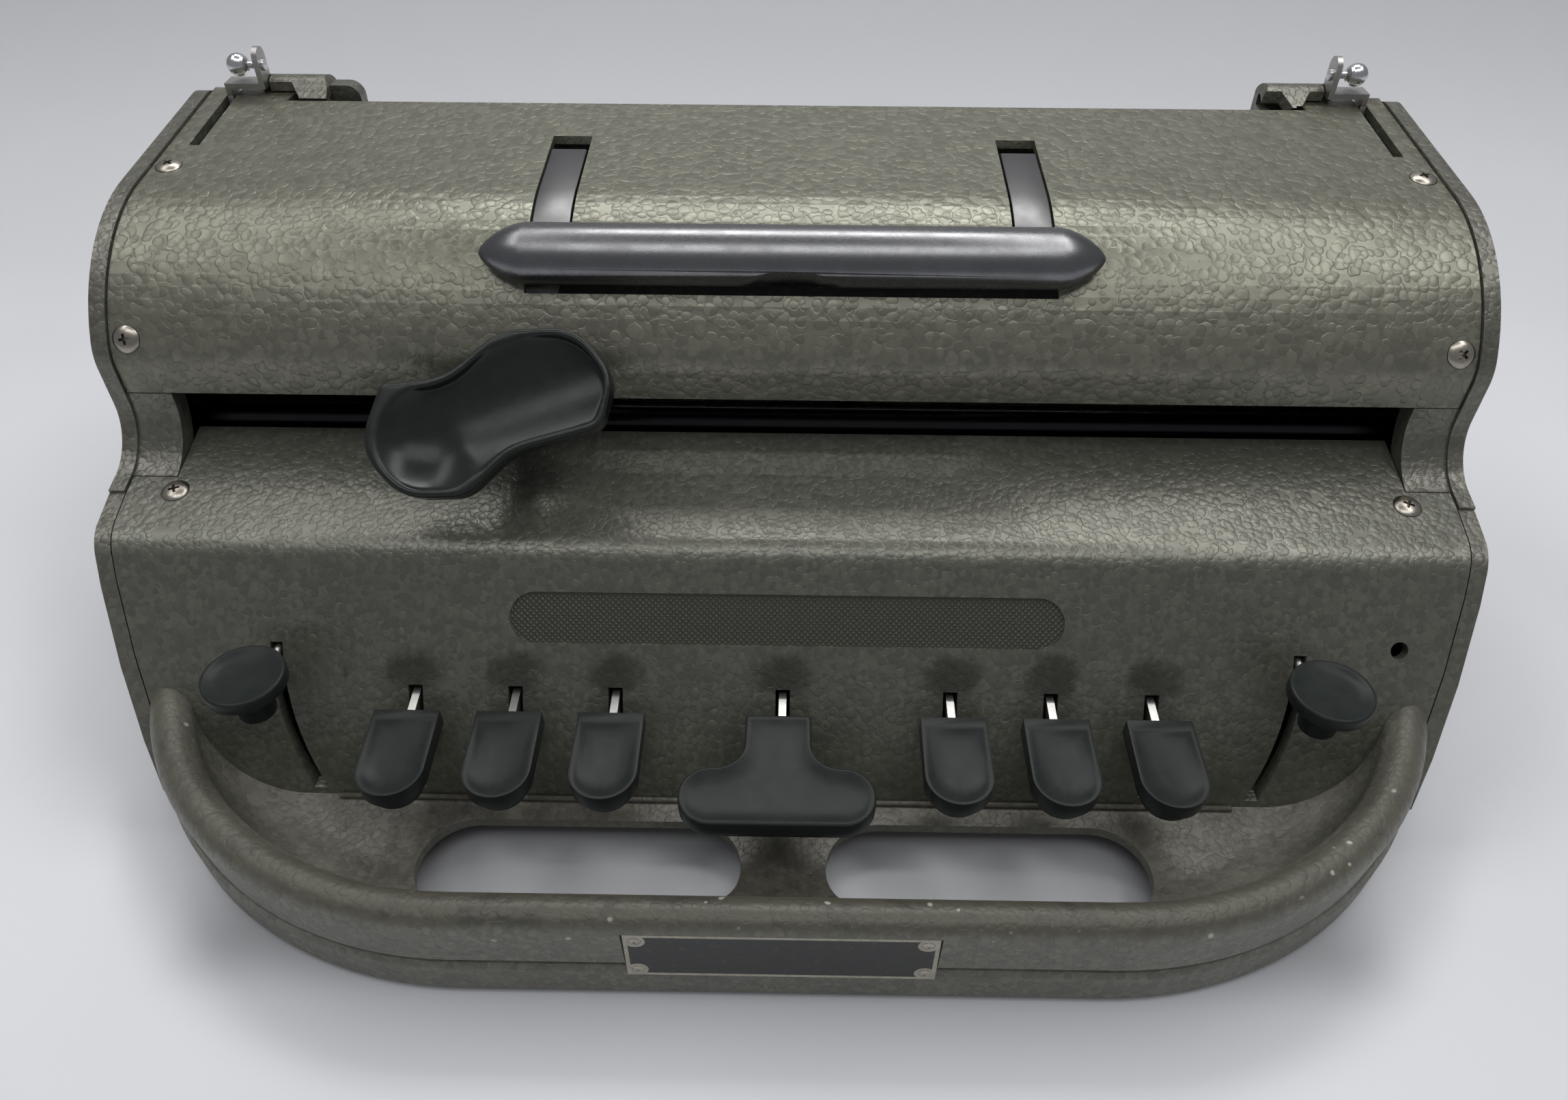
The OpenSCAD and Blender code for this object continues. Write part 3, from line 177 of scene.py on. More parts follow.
def twin(obj, name, matrix=None):
    """A copy with its own mesh, placed by a matrix."""
    copy = obj.copy()
    copy.data = obj.data.copy()
    copy.name = copy.data.name = name
    bpy.context.scene.collection.objects.link(copy)
    if matrix is not None:
        copy.data.transform(matrix)
    return copy


def finish_piece(obj, body, material, replaced=()):
    """Gives a piece its finish and the body it rides on, and hides the nodes it stands for."""
    obj.data.materials.clear()
    obj.data.materials.append(material)
    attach(obj, body)
    if replaced:
        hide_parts(*replaced)


# ---------------------------------------------------------------- materials

class Value:
    """A socket of a material that takes the usual arithmetic."""

    def __init__(self, finish, socket):
        self.finish = finish
        self.socket = socket

    def _with(self, operation, *others):
        return self.finish.node("ShaderNodeMath", {"operation": operation},
                                dict(enumerate((self,) + others)))

    def __add__(self, other):
        return self._with("ADD", other)

    __radd__ = __add__

    def __sub__(self, other):
        return self._with("SUBTRACT", other)

    def __rsub__(self, other):
        return self.finish.node("ShaderNodeMath", {"operation": "SUBTRACT"}, {0: other, 1: self})

    def __mul__(self, other):
        return self._with("MULTIPLY", other)

    __rmul__ = __mul__

    def __truediv__(self, other):
        return self._with("DIVIDE", other)

    def __abs__(self):
        return self._with("ABSOLUTE")

    def __mod__(self, other):
        return self._with("FLOORED_MODULO", other)

    def least(self, other):
        return self._with("MINIMUM", other)

    def most(self, other):
        return self._with("MAXIMUM", other)

    def root(self):
        return self.most(0.0)._with("SQRT")

    def step(self, low, high):
        """0 below low, 1 above high, smooth between them; low may be the larger."""
        return self.finish.node("ShaderNodeMapRange", {"interpolation_type": "SMOOTHSTEP"},
                                {"Value": self, "From Min": low, "From Max": high,
                                 "To Min": 0.0, "To Max": 1.0})


class Finish:
    """A material under construction: one surface shader and what feeds it."""

    def __init__(self, name, **constants):
        self.material = bpy.data.materials.new(name)
        self.material.use_nodes = True
        self.tree = self.material.node_tree
        self.tree.nodes.clear()
        output = self.tree.nodes.new("ShaderNodeOutputMaterial")
        self.shader = self.tree.nodes.new("ShaderNodeBsdfPrincipled")
        self.tree.links.new(self.shader.outputs[0], output.inputs["Surface"])
        self.set(**constants)
        self.place = self.node("ShaderNodeTexCoord", out="Object")

    def set(self, **inputs):
        for key, value in inputs.items():
            self.feed(self.shader.inputs[key.replace("_", " ")], value)

    def feed(self, socket, value):
        if isinstance(value, Value):
            self.tree.links.new(value.socket, socket)
        elif isinstance(value, (tuple, list)) and len(value) == 3 and socket.type == "RGBA":
            socket.default_value = (*value, 1.0)
        else:
            socket.default_value = value

    def node(self, kind, settings=None, inputs=None, out=0):
        """Adds a node: its settings first, then values or links for its sockets."""
        node = self.tree.nodes.new(kind)
        for key, value in (settings or {}).items():
            setattr(node, key, value)
        for key, value in (inputs or {}).items():
            self.feed(node.inputs[key], value)
        return Value(self, node.outputs[out])

    def parts(self, vector):
        """The three parts of a vector."""
        split = self.node("ShaderNodeSeparateXYZ", inputs={0: vector})
        return [Value(self, socket) for socket in split.socket.node.outputs]

    def axes(self):
        """The place on the piece as x, y and z in millimetres."""
        return self.parts(self.node("ShaderNodeVectorMath", {"operation": "SCALE"},
                                    {0: self.place, "Scale": 1 / MM}))

    def facing(self):
        """The three parts of the surface's direction."""
        return self.parts(self.node("ShaderNodeTexCoord", out="Normal"))

    def drawn(self, stretch):
        """The place with its axes stretched, for a grain that runs one way."""
        return self.node("ShaderNodeMapping", inputs={"Vector": self.place, "Scale": stretch})

    def noise(self, size, detail=2.0, roughness=0.5, where=None):
        """Soft noise whose lumps are about size millimetres across."""
        return self.node("ShaderNodeTexNoise", inputs={
            "Vector": where or self.place, "Scale": 1 / (size * MM), "Detail": detail,
            "Roughness": roughness})

    def warped(self, size, amount):
        """The place, pushed about by noise, so that cells lose their straight sides."""
        push = self.node("ShaderNodeTexNoise", inputs={
            "Vector": self.place, "Scale": 1 / (size * MM), "Detail": 1.0}, out="Color")
        centred = self.node("ShaderNodeVectorMath", {"operation": "SUBTRACT"},
                            {0: push, 1: (0.5, 0.5, 0.5)})
        scaled = self.node("ShaderNodeVectorMath", {"operation": "SCALE"},
                           {0: centred, "Scale": amount * MM})
        return self.node("ShaderNodeVectorMath", {"operation": "ADD"}, {0: self.place, 1: scaled})

    def cells(self, size, where=None):
        """How far each point is from the middle of its own spot."""
        return self.node("ShaderNodeTexVoronoi", inputs={
            "Vector": where or self.place, "Scale": 1 / (size * MM)}, out="Distance")

    def domes(self, size, where, layer):
        """One layer of round spots: the distance from a spot's middle and the spot's own tone."""
        shift = (13 * MM * layer, 29 * MM * layer, 17 * MM * layer)
        away = self.cells(size, self.node("ShaderNodeVectorMath", {"operation": "ADD"},
                                          {0: where, 1: shift}))
        colour = Value(self, away.socket.node.outputs["Color"])
        return away, self.node("ShaderNodeSeparateColor", inputs={0: colour})

    def mix(self, share, first, second):
        """Colour between two, by a share of the second."""
        node = self.tree.nodes.new("ShaderNodeMix")
        node.data_type = "RGBA"
        for socket, value in ((0, share), (6, first), (7, second)):
            self.feed(node.inputs[socket], value)
        return Value(self, node.outputs[2])

    def bump(self, height, depth):
        """A relief of the given depth in millimetres."""
        return self.node("ShaderNodeBump",
                         inputs={"Height": height, "Distance": depth * MM, "Strength": 1.0})


def toned(colour, share):
    """A paler or darker tone of a colour."""
    return tuple(min(1.0, c * share) for c in colour)


def hammered_paint(name, colour, cell, depth, rough=0.30, metallic=0.45, wear_and_shade=None):
    """Hammer-finish enamel: round domes that lie over one another, with painted shade in the creases
    between.
    """
    f = Finish(name)
    where = f.warped(cell * 1.1, cell * 0.5)
    shade = f.noise(cell * 1.4, 1.0)
    relief = shade * 0.5
    crease_with_painted_shade = 0.0
    for layer, share in enumerate((1.15, 1.0, 0.8)):
        away, tone = f.domes(cell * share, where, layer)
        disc = away.step(0.50, 0.43)
        lip = away.step(0.34, 0.44) * disc
        relief = relief + disc * (1.0 - away * away * 2.6 + tone * 0.25 - relief)
        shade = shade + disc * (tone - shade)
        crease_with_painted_shade = lip + (1 - disc) * crease_with_painted_shade
    fine = f.noise(0.55, 3.0, 0.6)
    clouds = f.noise(26.0, 3.0, 0.55)
    body = f.mix(shade.step(0.15, 0.85), toned(colour, 0.86), toned(colour, 1.16))
    # painted shade: the creases between the domes are darkened towards half the colour
    body = f.mix(crease_with_painted_shade * 0.28, body, toned(colour, 0.5))
    body = f.mix(clouds.step(0.40, 0.68) * 0.30, body, toned(colour, 0.82))
    roughness = rough + (fine - 0.5) * 0.12 + crease_with_painted_shade * 0.08 + (clouds - 0.5) * 0.10
    relief = relief + fine * 0.05
    # marks laid over the paint: rubbed places, dirt and, on some parts, painted shade
    if wear_and_shade:
        body, relief = wear_and_shade(f, body, relief)
    f.set(Base_Color=body, Roughness=roughness, Metallic=metallic, Normal=f.bump(relief, depth))
    return f.material


def moulded(name, colour, rough, bump=0.01, gloss=0.5):
    """Moulded key plastic, handled for years."""
    f = Finish(name)
    patches = f.noise(5.0, 3.0, 0.55)
    fine = f.noise(0.35)
    specks = f.noise(1.2, 4.0, 0.7).step(0.62, 0.74)
    body = f.mix(patches.step(0.4, 0.62) * 0.5, colour, toned(colour, 1.25))
    f.set(Base_Color=f.mix(specks * 0.18, body, toned(colour, 1.7)),
          Roughness=rough + (patches - 0.5) * 0.2 + (fine - 0.5) * 0.08,
          Specular_IOR_Level=gloss, Normal=f.bump(fine + patches * 0.6, bump))
    return f.material


def metal(name, colour, rough=0.30, grain=(1, 1, 1), stain=0.3, bump=0.006):
    """Bare metal with a drawn grain, fine scratches and dull stains."""
    f = Finish(name)
    lines = f.noise(0.35, 3.0, 0.6, where=f.drawn(grain))
    patch = f.noise(7.0, 4.0, 0.6)
    spots = f.noise(0.9, 3.0, 0.65).step(0.60, 0.72)
    body = f.mix(patch.step(0.38, 0.68) * stain, colour, toned(colour, 0.62))
    f.set(Base_Color=f.mix(spots * stain * 0.7, body, toned(colour, 0.45)), Metallic=1.0,
          Roughness=rough + (lines - 0.5) * 0.25 + (patch - 0.5) * 0.18,
          Normal=f.bump(lines, bump))
    return f.material


def rubber(name, colour):
    """Matt rubber with pale dust in it."""
    f = Finish(name)
    dust = f.noise(3.0, 4.0, 0.65)
    f.set(Base_Color=f.mix(dust.step(0.45, 0.7) * 0.4, colour, (0.09, 0.09, 0.09)),
          Roughness=0.78 + (dust - 0.5) * 0.2, Normal=f.bump(f.noise(0.4), 0.03))
    return f.material


# ---------------------------------------------------------------- places

PANEL_LEAN = math.radians(32)          # the front panel's, from upright
PANEL_FOOT = (-61.0, 11.0)             # y and z where the panel meets the base
KEY_MID = -0.8                         # x of the space key, with three dot keys on either side of it
KEY_FIRST, KEY_PITCH = 44.2, 26.5      # from the space key to the first dot key, and from key to key
CAP_BACK, CAP_TOP, CAP_LEAN = -53.3, 37.0, 3.0      # y, z and degrees of the caps' back edge
SPACE_SHIFT = -0.9                     # the space key's cap from the middle of its lever
ROUND_KEY = (134.3, -57.0, 54.0)       # middle of a round key's face, on either side
RECESS_HALF, RECESS_RADIUS, RECESS_Z = 65.5, 6.95, 52.8
PLATE_HALF, PLATE_Z = (35.75, 8.75), 22.55
BROW = Vector((0, 54.4, 82.05))        # centre of the cover's brow, 50 mm in radius
BAR = Vector((0, 24.1, 126.1))         # middle of the handle's bar
ARM_X = 63.5                           # from the middle to a handle arm
THUMB_PIECE = (-76.0, -8.2, 99.0)


def up_panel(y, z):
    """Distance up the panel's slope from its foot."""
    return (y - PANEL_FOOT[0]) * math.sin(PANEL_LEAN) + (z - PANEL_FOOT[1]) * math.cos(PANEL_LEAN)


# ---------------------------------------------------------------- finishes

# The inside colour is the base colour at about half its brightness: painted shade for the parts inside the
# machine.
GREY_GREEN = {"cover": (0.178, 0.176, 0.136), "panel": (0.140, 0.140, 0.113),
              "base": (0.146, 0.142, 0.117), "inside": (0.075, 0.074, 0.062)}


def dark_patches_over_keys(f, x, up):
    """Share of the soft dark patch on the panel over each key's slot."""
    far, middle, half_width, half_height = 1000.0, 34.5, 8.5, 6.8
    side = abs(x - KEY_MID)
    from_key = abs((side - (KEY_FIRST - KEY_PITCH / 2)) % KEY_PITCH - KEY_PITCH / 2)
    from_key = from_key + side.step(116, 118) * far + (1 - side.step(30, 31)) * far
    across = from_key.least(side) / half_width
    above = (up - middle) / half_height
    ragged = f.noise(6.0, 3.0, 0.6)
    return (across * across + above * above + (ragged - 0.5) * 1.6).step(1.25, 0.15), ragged


def panel_wear_and_shade(f, body, relief):
    """Soft dark patches over the key slots, painted shade along the panel's foot, and the cross-hatched
    ground of the recess with painted shade between its raised pips.
    """
    hatch = 1.6
    x, y, z = f.axes()
    up = up_panel(y, z)
    stain, ragged = dark_patches_over_keys(f, x, up)
    # soft dark patches over the key slots
    body = f.mix(stain * 0.62, body, (0.020, 0.020, 0.016))
    # painted shade: darker towards the panel's foot, where it meets the base
    low = up.step(16, 2) * (0.4 + ragged * 0.5)
    body = f.mix(low * 0.5, body, (0.035, 0.034, 0.028))
    past = (abs(x) - RECESS_HALF).most(0.0)
    off = up - (RECESS_Z - PANEL_FOOT[1]) / math.cos(PANEL_LEAN)
    inside = (past * past + off * off).root().step(RECESS_RADIUS, RECESS_RADIUS - 0.35)
    rise = (x + off) / hatch % 1.0 - 0.5
    fall = (x - off) / hatch % 1.0 - 0.5
    pips = abs(rise).step(0.10, 0.30) * abs(fall).step(0.10, 0.30)
    body = f.mix(inside * 0.75, body, (0.105, 0.100, 0.078))
    # painted shade: the ground between the raised pips is darkened
    body = f.mix(inside * (1 - pips) * 0.55, body, (0.045, 0.043, 0.034))
    relief = relief * (1 - inside * 0.8) + inside * pips * 1.5
    return body, relief


def rail_wear_and_dark_crest(f, body, relief):
    """Rail darker along its upward-facing crest, most in the middle, with rubbed and chipped places, dirt
    and pits in the well.
    """
    x, _, z = f.axes()
    upward = f.facing()[2]
    ragged = f.noise(9.0, 4.0, 0.62)
    crest = z.step(31.5, 35.0)
    # darker where the crest faces up, most in the middle
    handled = crest * upward.step(0.2, 0.8) * (0.62 + abs(x).step(150, 70) * 0.30)
    body = f.mix(handled, body, (0.026, 0.025, 0.020))
    rub = crest * (ragged + 0.25).step(0.50, 0.78)
    body = f.mix(rub * 0.35, body, (0.150, 0.140, 0.098))
    chips = f.cells(5.0, f.warped(4.0, 1.5))
    chip = (1 - chips.step(0.10, 0.17)) * f.noise(15.0, 1.0).step(0.50, 0.58) * z.step(24, 31)
    body = f.mix(chip * 0.85, body, (0.42, 0.41, 0.36))
    well = upward.step(0.55, 0.95) * z.step(15.0, 12.0) * z.step(10.0, 10.8)
    grime = f.noise(3.2, 4.0, 0.7).step(0.44, 0.70)
    body = f.mix(well * (0.25 + grime * 0.5), body, (0.060, 0.050, 0.036))
    pits = f.cells(2.2).step(0.20, 0.08)
    return body, relief - pits * well * 0.8


def cover_wear_and_shade(f, body, relief):
    """Brownish rubbed places by the rear corners, and painted shade along the lower edge."""
    x, y, z = f.axes()
    ragged = f.noise(5.0, 4.0, 0.65)
    corner = abs(x).step(146, 158) * y.step(94, 106) * ragged.step(0.42, 0.62)
    body = f.mix(corner * 0.6, body, (0.085, 0.060, 0.034))
    # painted shade: darker along the cover's lower edge
    low = z.step(96.5, 92.5) * (0.3 + ragged * 0.5)
    body = f.mix(low * 0.35, body, (0.045, 0.043, 0.036))
    return body, relief


def plate_finish():
    """Black plate with a cream line round it that turns inwards at the rivets."""
    line, ear, rivet = 0.95, 2.4, 2.6
    f = Finish("bordered_plate")
    x, _, z = f.axes()
    to_side = PLATE_HALF[0] - abs(x)
    to_end = PLATE_HALF[1] - abs(z - PLATE_Z)
    from_rivet = ((to_side - rivet) * (to_side - rivet) + (to_end - rivet) * (to_end - rivet)).root()
    cream = to_side.least(to_end).step(line + 0.1, line - 0.1)
    cream = cream.most(from_rivet.step(ear + 0.1, ear - 0.1))
    scuff = f.noise(2.4, 4.0, 0.7)
    lines = f.noise(0.5, where=f.drawn((0.2, 1, 2)))
    black = f.mix(scuff.step(0.52, 0.74) * 0.5, (0.016, 0.016, 0.015), (0.085, 0.080, 0.070))
    ivory = f.mix(scuff.step(0.40, 0.66) * 0.55, (0.40, 0.38, 0.30), (0.21, 0.195, 0.15))
    f.set(Base_Color=f.mix(cream, black, ivory), Metallic=0.2,
          Roughness=0.34 + (scuff - 0.5) * 0.25 + (lines - 0.5) * 0.1,
          Normal=f.bump(cream * 0.6 + lines * 0.1, 0.06))
    return f.material


ALONG_X = (0.15, 4, 4)                 # grain of a bar that is turned or drawn along x

paint = {
    "cover": hammered_paint("hammered_paint_cover", GREY_GREEN["cover"], 3.9, 0.12, wear_and_shade=cover_wear_and_shade),
    "panel": hammered_paint("hammered_paint_panel", GREY_GREEN["panel"], 3.0, 0.10, wear_and_shade=panel_wear_and_shade),
    "base": hammered_paint("hammered_paint_base", GREY_GREEN["base"], 3.3, 0.10, rough=0.44, metallic=0.20,
                           wear_and_shade=rail_wear_and_dark_crest),
    "side": hammered_paint("hammered_paint_sides", GREY_GREEN["base"], 2.9, 0.12),
    # painted shade: a darker copy of the base paint for the parts inside the machine
    "dark": hammered_paint("hammered_paint_inside_painted_shade", GREY_GREEN["inside"], 2.9, 0.12),
}
steel = metal("rolled_steel", (0.47, 0.46, 0.44), rough=0.38, grain=(1, 1, 8))
rod_steel = metal("ground_rod_steel", (0.52, 0.52, 0.51), rough=0.28, grain=ALONG_X, stain=0.2)
black_rod = metal("blackened_rod_steel", (0.030, 0.030, 0.032), grain=ALONG_X, stain=0.2)
alloy = metal("polished_alloy", (0.66, 0.66, 0.67), rough=0.22, stain=0.25)
cast_alloy = metal("cast_alloy_handle", (0.21, 0.21, 0.216), rough=0.28, grain=(0.25, 3, 3), stain=0.35)
arm_alloy = metal("drawn_alloy_arms", (0.17, 0.167, 0.168), rough=0.38, grain=(4, 0.3, 0.3), stain=0.25)
screw_metal = metal("nickel_screws", (0.42, 0.385, 0.33), stain=0.6)
bronze = metal("bell_bronze", (0.62, 0.50, 0.27))
spring_wire = metal("spring_wire", (0.52, 0.52, 0.50), grain=(4, 1, 1))
cast_iron = metal("oiled_casting", (0.16, 0.16, 0.16), rough=0.5, stain=0.5, bump=0.02)
key_plastic = moulded("grey_green_key_plastic", (0.019, 0.0225, 0.021), rough=0.30, gloss=0.09)
spoon_plastic = moulded("grey_green_thumb_plastic", (0.014, 0.0175, 0.0155), rough=0.27, bump=0.004,
                        gloss=0.28)
knob_plastic = moulded("black_knob_plastic", (0.016, 0.016, 0.016), rough=0.38)
foot_rubber = rubber("foot_rubber", (0.022, 0.022, 0.022))
drum_rubber = rubber("feed_drum_rubber", (0.035, 0.034, 0.032))

dot_keys = [f"dot_{i}" for i in range(1, 7)]
carried = {
    paint["cover"]: ["top_cover"],
    paint["panel"]: ["front_panel"],
    paint["base"]: ["base_casting"],
    paint["side"]: ["left_side_casting", "right_side_casting"],
    paint["dark"]: ["rear_cover", "paper_table", "bottom_plate", "handle_beam"],
    plate_finish(): ["name_plate"],
    screw_metal: ["casing_screws", "plate_rivets"],
    black_rod: ["front_rail"],
    rod_steel: ["rear_rail", "key_shaft", "margin_rod", "handle_pins", "release_pins", "spacer_pins",
                "carriage_lever_pin", "embossing_pins"],
    steel: ["escapement_rack", "key_guide_comb", "line_ratchet", "left_release_lever",
            "right_release_lever", "embossing_head", "bell_hammer", "line_space_lever",
            "back_space_lever", "space_lever"] + [f"{key}_lever" for key in dot_keys],
    spring_wire: ["key_springs"],
    bronze: ["bell"],
    cast_alloy: ["handle"],
    cast_iron: ["carriage_block", "carriage_lever_arm", "left_margin_stop", "right_margin_stop"],
    spoon_plastic: ["carriage_thumb_piece"],
    drum_rubber: ["feed_drum"],
    knob_plastic: ["left_feed_knob", "right_feed_knob"],
    alloy: ["left_release_ball", "right_release_ball"],
    foot_rubber: ["rubber_feet"],
    key_plastic: ["space_cap", "line_space_disc", "back_space_disc"] + [f"{key}_cap" for key in dot_keys],
}
for material, names in carried.items():
    for name in names:
        mesh = nodes[name].data
        mesh.materials.clear()
        mesh.materials.append(material)
        smooth(nodes[name], 30)


# ---------------------------------------------------------------- keys

CAP_RIM = 0.9                          # flat rim round a key's dish
CAP_DEPTH, SOCKET_DEPTH = 5.0, 3.9     # a cap's edge, and the socket under it that takes the lever
SOCKET_RIM = 1.9


def dish(obj, rim, steps, back=0.0):
    """Sinks the upper face inside a rim, in steps of (width, depth); back widens the rear rim."""
    edit(obj)
    pick(obj, "FACE", lambda c, n: n.z > STRAIGHT and c.z > -0.01)
    inset(rim)
    if back:
        pick(obj, "VERT", lambda c, n: c.z > -0.01 and -rim - 0.9 < c.y < -rim + 0.1 and abs(c.x) < 7.6)
        bpy.ops.transform.translate(value=(0, -back * MM, 0))
        pick(obj, "FACE", lambda c, n: n.z > STRAIGHT and c.z > -0.01 and abs(c.x) < 3 and -22 < c.y < -5)
    for width, depth in steps:
        inset(width, -depth)
    return leave(obj)


def add_socket(cap):
    """Pulls the cap's underside down round its lever, with the cap in edit mode."""
    pick(cap, "FACE", lambda c, n: n.z < -STRAIGHT)
    inset(SOCKET_RIM)
    extrude(0, 0, -SOCKET_DEPTH)
    leave(cap)


def tongue_cap():
    """A dot key's cap: back edge at y 0, face at z 0."""
    half, length, rounding = 8.5, 26.0, 8.4
    cap = block("tongue_cap", (-half, -length, -CAP_DEPTH), (half, 0, 0))
    edit(cap)
    pick(cap, "EDGE", lambda c, d: abs(d.z) > STRAIGHT and c.y < -1)
    bpy.ops.mesh.bevel(offset=rounding * MM, segments=14, affect="EDGES")
    add_socket(cap)
    dish(cap, CAP_RIM, [(0.7, 0.34), (1.7, 0.38), (2.4, 0.20)], back=2.0)
    soften(cap, 0.55, 3, 50)
    return smooth(outward(cap), 50)


def space_bar_cap():
    """The space key's cap: a stem that spreads into a round-ended bar."""
    half, stem, neck, deep = 24.25, 8.5, 16.0, 16.4
    cap = block("space_bar_cap", (-half, -neck - deep, -CAP_DEPTH), (half, -neck, 0))
    edit(cap)
    for side in (-stem, stem):
        bpy.ops.mesh.select_all(action="SELECT")
        bpy.ops.mesh.bisect(plane_co=(side * MM, 0, 0), plane_no=(1, 0, 0))
    pick(cap, "FACE", lambda c, n: n.y > STRAIGHT and abs(c.x) < stem - 1)
    extrude(0, neck, 0)
    pick(cap, "EDGE", lambda c, d: abs(d.z) > STRAIGHT and abs(c.x) > half - 0.1)
    bpy.ops.mesh.bevel(offset=8.0 * MM, segments=12, affect="EDGES")
    pick(cap, "EDGE", lambda c, d: (abs(d.z) > STRAIGHT and abs(abs(c.x) - stem) < 0.1
                                    and abs(c.y + neck) < 0.1))
    bpy.ops.mesh.bevel(offset=7.2 * MM, segments=10, affect="EDGES")
    add_socket(cap)
    dish(cap, CAP_RIM, [(0.8, 0.26), (1.9, 0.28), (1.8, 0.12)])
    soften(cap, 0.55, 3, 50)
    return smooth(outward(cap), 50)


def round_key():
    """Disc on a thick stem, for the line-space and back-space keys; face at z 0."""
    radius, thick, stem_inset, stem = 10.25, 3.8, 5.3, 10.1
    disc = rod("round_key", radius, thick, 56, location=(0, 0, -thick / 2 * MM))
    edit(disc)
    pick(disc, "FACE", lambda c, n: n.z < -STRAIGHT)
    inset(stem_inset)
    extrude(0, 0, -stem)
    bpy.ops.transform.resize(value=(0.94, 0.94, 1))
    inset(1.4)
    inset(0.3, -1.6)
    leave(disc)
    dish(disc, 1.0, [(0.8, 0.35), (2.5, 0.35), (3.0, 0.1)])
    soften(disc, 0.6, 3, 50)
    return smooth(outward(disc), 50)


def key_caps():
    tongue = tongue_cap()
    reach = [KEY_FIRST + i * KEY_PITCH for i in range(3)]
    dot_x = [KEY_MID - r for r in reach] + [KEY_MID + r for r in reach]
    for key, x in zip(dot_keys, dot_x):
        cap = twin(tongue, f"{key}_key_cap", placed((x, CAP_BACK, CAP_TOP), CAP_LEAN))
        finish_piece(cap, f"{key}_key", key_plastic, [f"{key}_cap"])
    bpy.data.objects.remove(tongue)
    space = space_bar_cap()
    space.data.transform(placed((KEY_MID + SPACE_SHIFT, CAP_BACK, CAP_TOP), CAP_LEAN))
    finish_piece(space, "space_key", key_plastic, ["space_cap"])
    disc = round_key()
    for side, key in ((-1, "line_space"), (1, "back_space")):
        copy = twin(disc, f"{key}_round_key", placed((side * ROUND_KEY[0], *ROUND_KEY[1:])))
        finish_piece(copy, f"{key}_key", key_plastic, [f"{key}_disc"])
    bpy.data.objects.remove(disc)


key_caps()


# ---------------------------------------------------------------- handle

def handle_bar():
    """Rounded bar with ogive ends, a finger scallop under its front edge."""
    straight, deep, thick, lean = 68.5, 8.2, 6.5, 34
    ogive = ((2.5, 0.93), (2.5, 0.81), (2.5, 0.63), (2.2, 0.42), (1.4, 0.24), (0.8, 0.08))
    scallop = 60.0
    bar = rod("handle_bar", 1, 2 * straight, 48, rotation=(0, math.pi / 2, 0))
    bar.scale = (1, deep, thick)
    settle(bar)
    for side in (-1, 1):
        edit(bar)
        pick(bar, "FACE", lambda c, n: n.x * side > STRAIGHT)
        last = 1.0
        for step, share in ogive:
            extrude(side * step, 0, 0)
            bpy.ops.transform.resize(value=(1, share / last, share / last))
            last = share
        leave(bar)
    cut_away(bar, rod("scallop", scallop, 40, 64, location=(0, (1.6 - deep - scallop) * MM, 0)))
    soften(bar, 0.4, 2, 40)
    bar.data.transform(placed(BAR, lean))
    return smooth(outward(bar), 40)


def handle_arm(name, x):
    """Strip that follows the cover from the bar back to its pivot."""
    half_width, half_thick, radius = 5.0, 1.8, 48.2
    start, sweep, slope, run = math.radians(126), math.radians(31.5), math.radians(4.5), 19.5
    arm = block(name, (x - half_width, -half_thick, -half_thick), (x + half_width, half_thick, half_thick))
    middle = BROW + Vector((0, math.cos(start), math.sin(start))) * radius
    arm.data.transform(placed(middle, math.degrees(start) - 90))
    edit(arm)
    ahead = Vector((0, math.sin(start), -math.cos(start)))
    pick(arm, "FACE", lambda c, n: n.dot(ahead) > STRAIGHT)
    bpy.ops.mesh.spin(steps=12, angle=sweep, center=BROW * MM, axis=(1, 0, 0))
    extrude(0, math.cos(slope) * run, math.sin(slope) * run)
    extrude(0, 3.0, -1.6)
    extrude(0, 1.4, -3.4)
    leave(arm)
    soften(arm, 0.35, 2, 40)
    return smooth(outward(arm), 40)


finish_piece(handle_bar(), "carrying_handle", cast_alloy, ["handle"])
for name, x in (("left_handle_arm", -ARM_X), ("right_handle_arm", ARM_X)):
    finish_piece(handle_arm(name, x), "carrying_handle", arm_alloy, ["handle"])


# ---------------------------------------------------------------- thumb piece

def rounded_outline(corners, steps=6):
    """Points of a closed outline whose corners have radii."""
    points = []
    for i, (x, y, r) in enumerate(corners):
        here = Vector((x, y))
        back = (Vector(corners[i - 1][:2]) - here).normalized()
        on = (Vector(corners[(i + 1) % len(corners)][:2]) - here).normalized()
        half = back.angle(on) / 2
        centre = here + (back + on).normalized() * r / math.sin(half)
        first = here + back * r / math.tan(half) - centre
        turn = first.angle_signed(here + on * r / math.tan(half) - centre)
        for k in range(steps):
            angle = -turn * k / (steps - 1)
            points.append(centre + Matrix.Rotation(angle, 2) @ first)
    return points


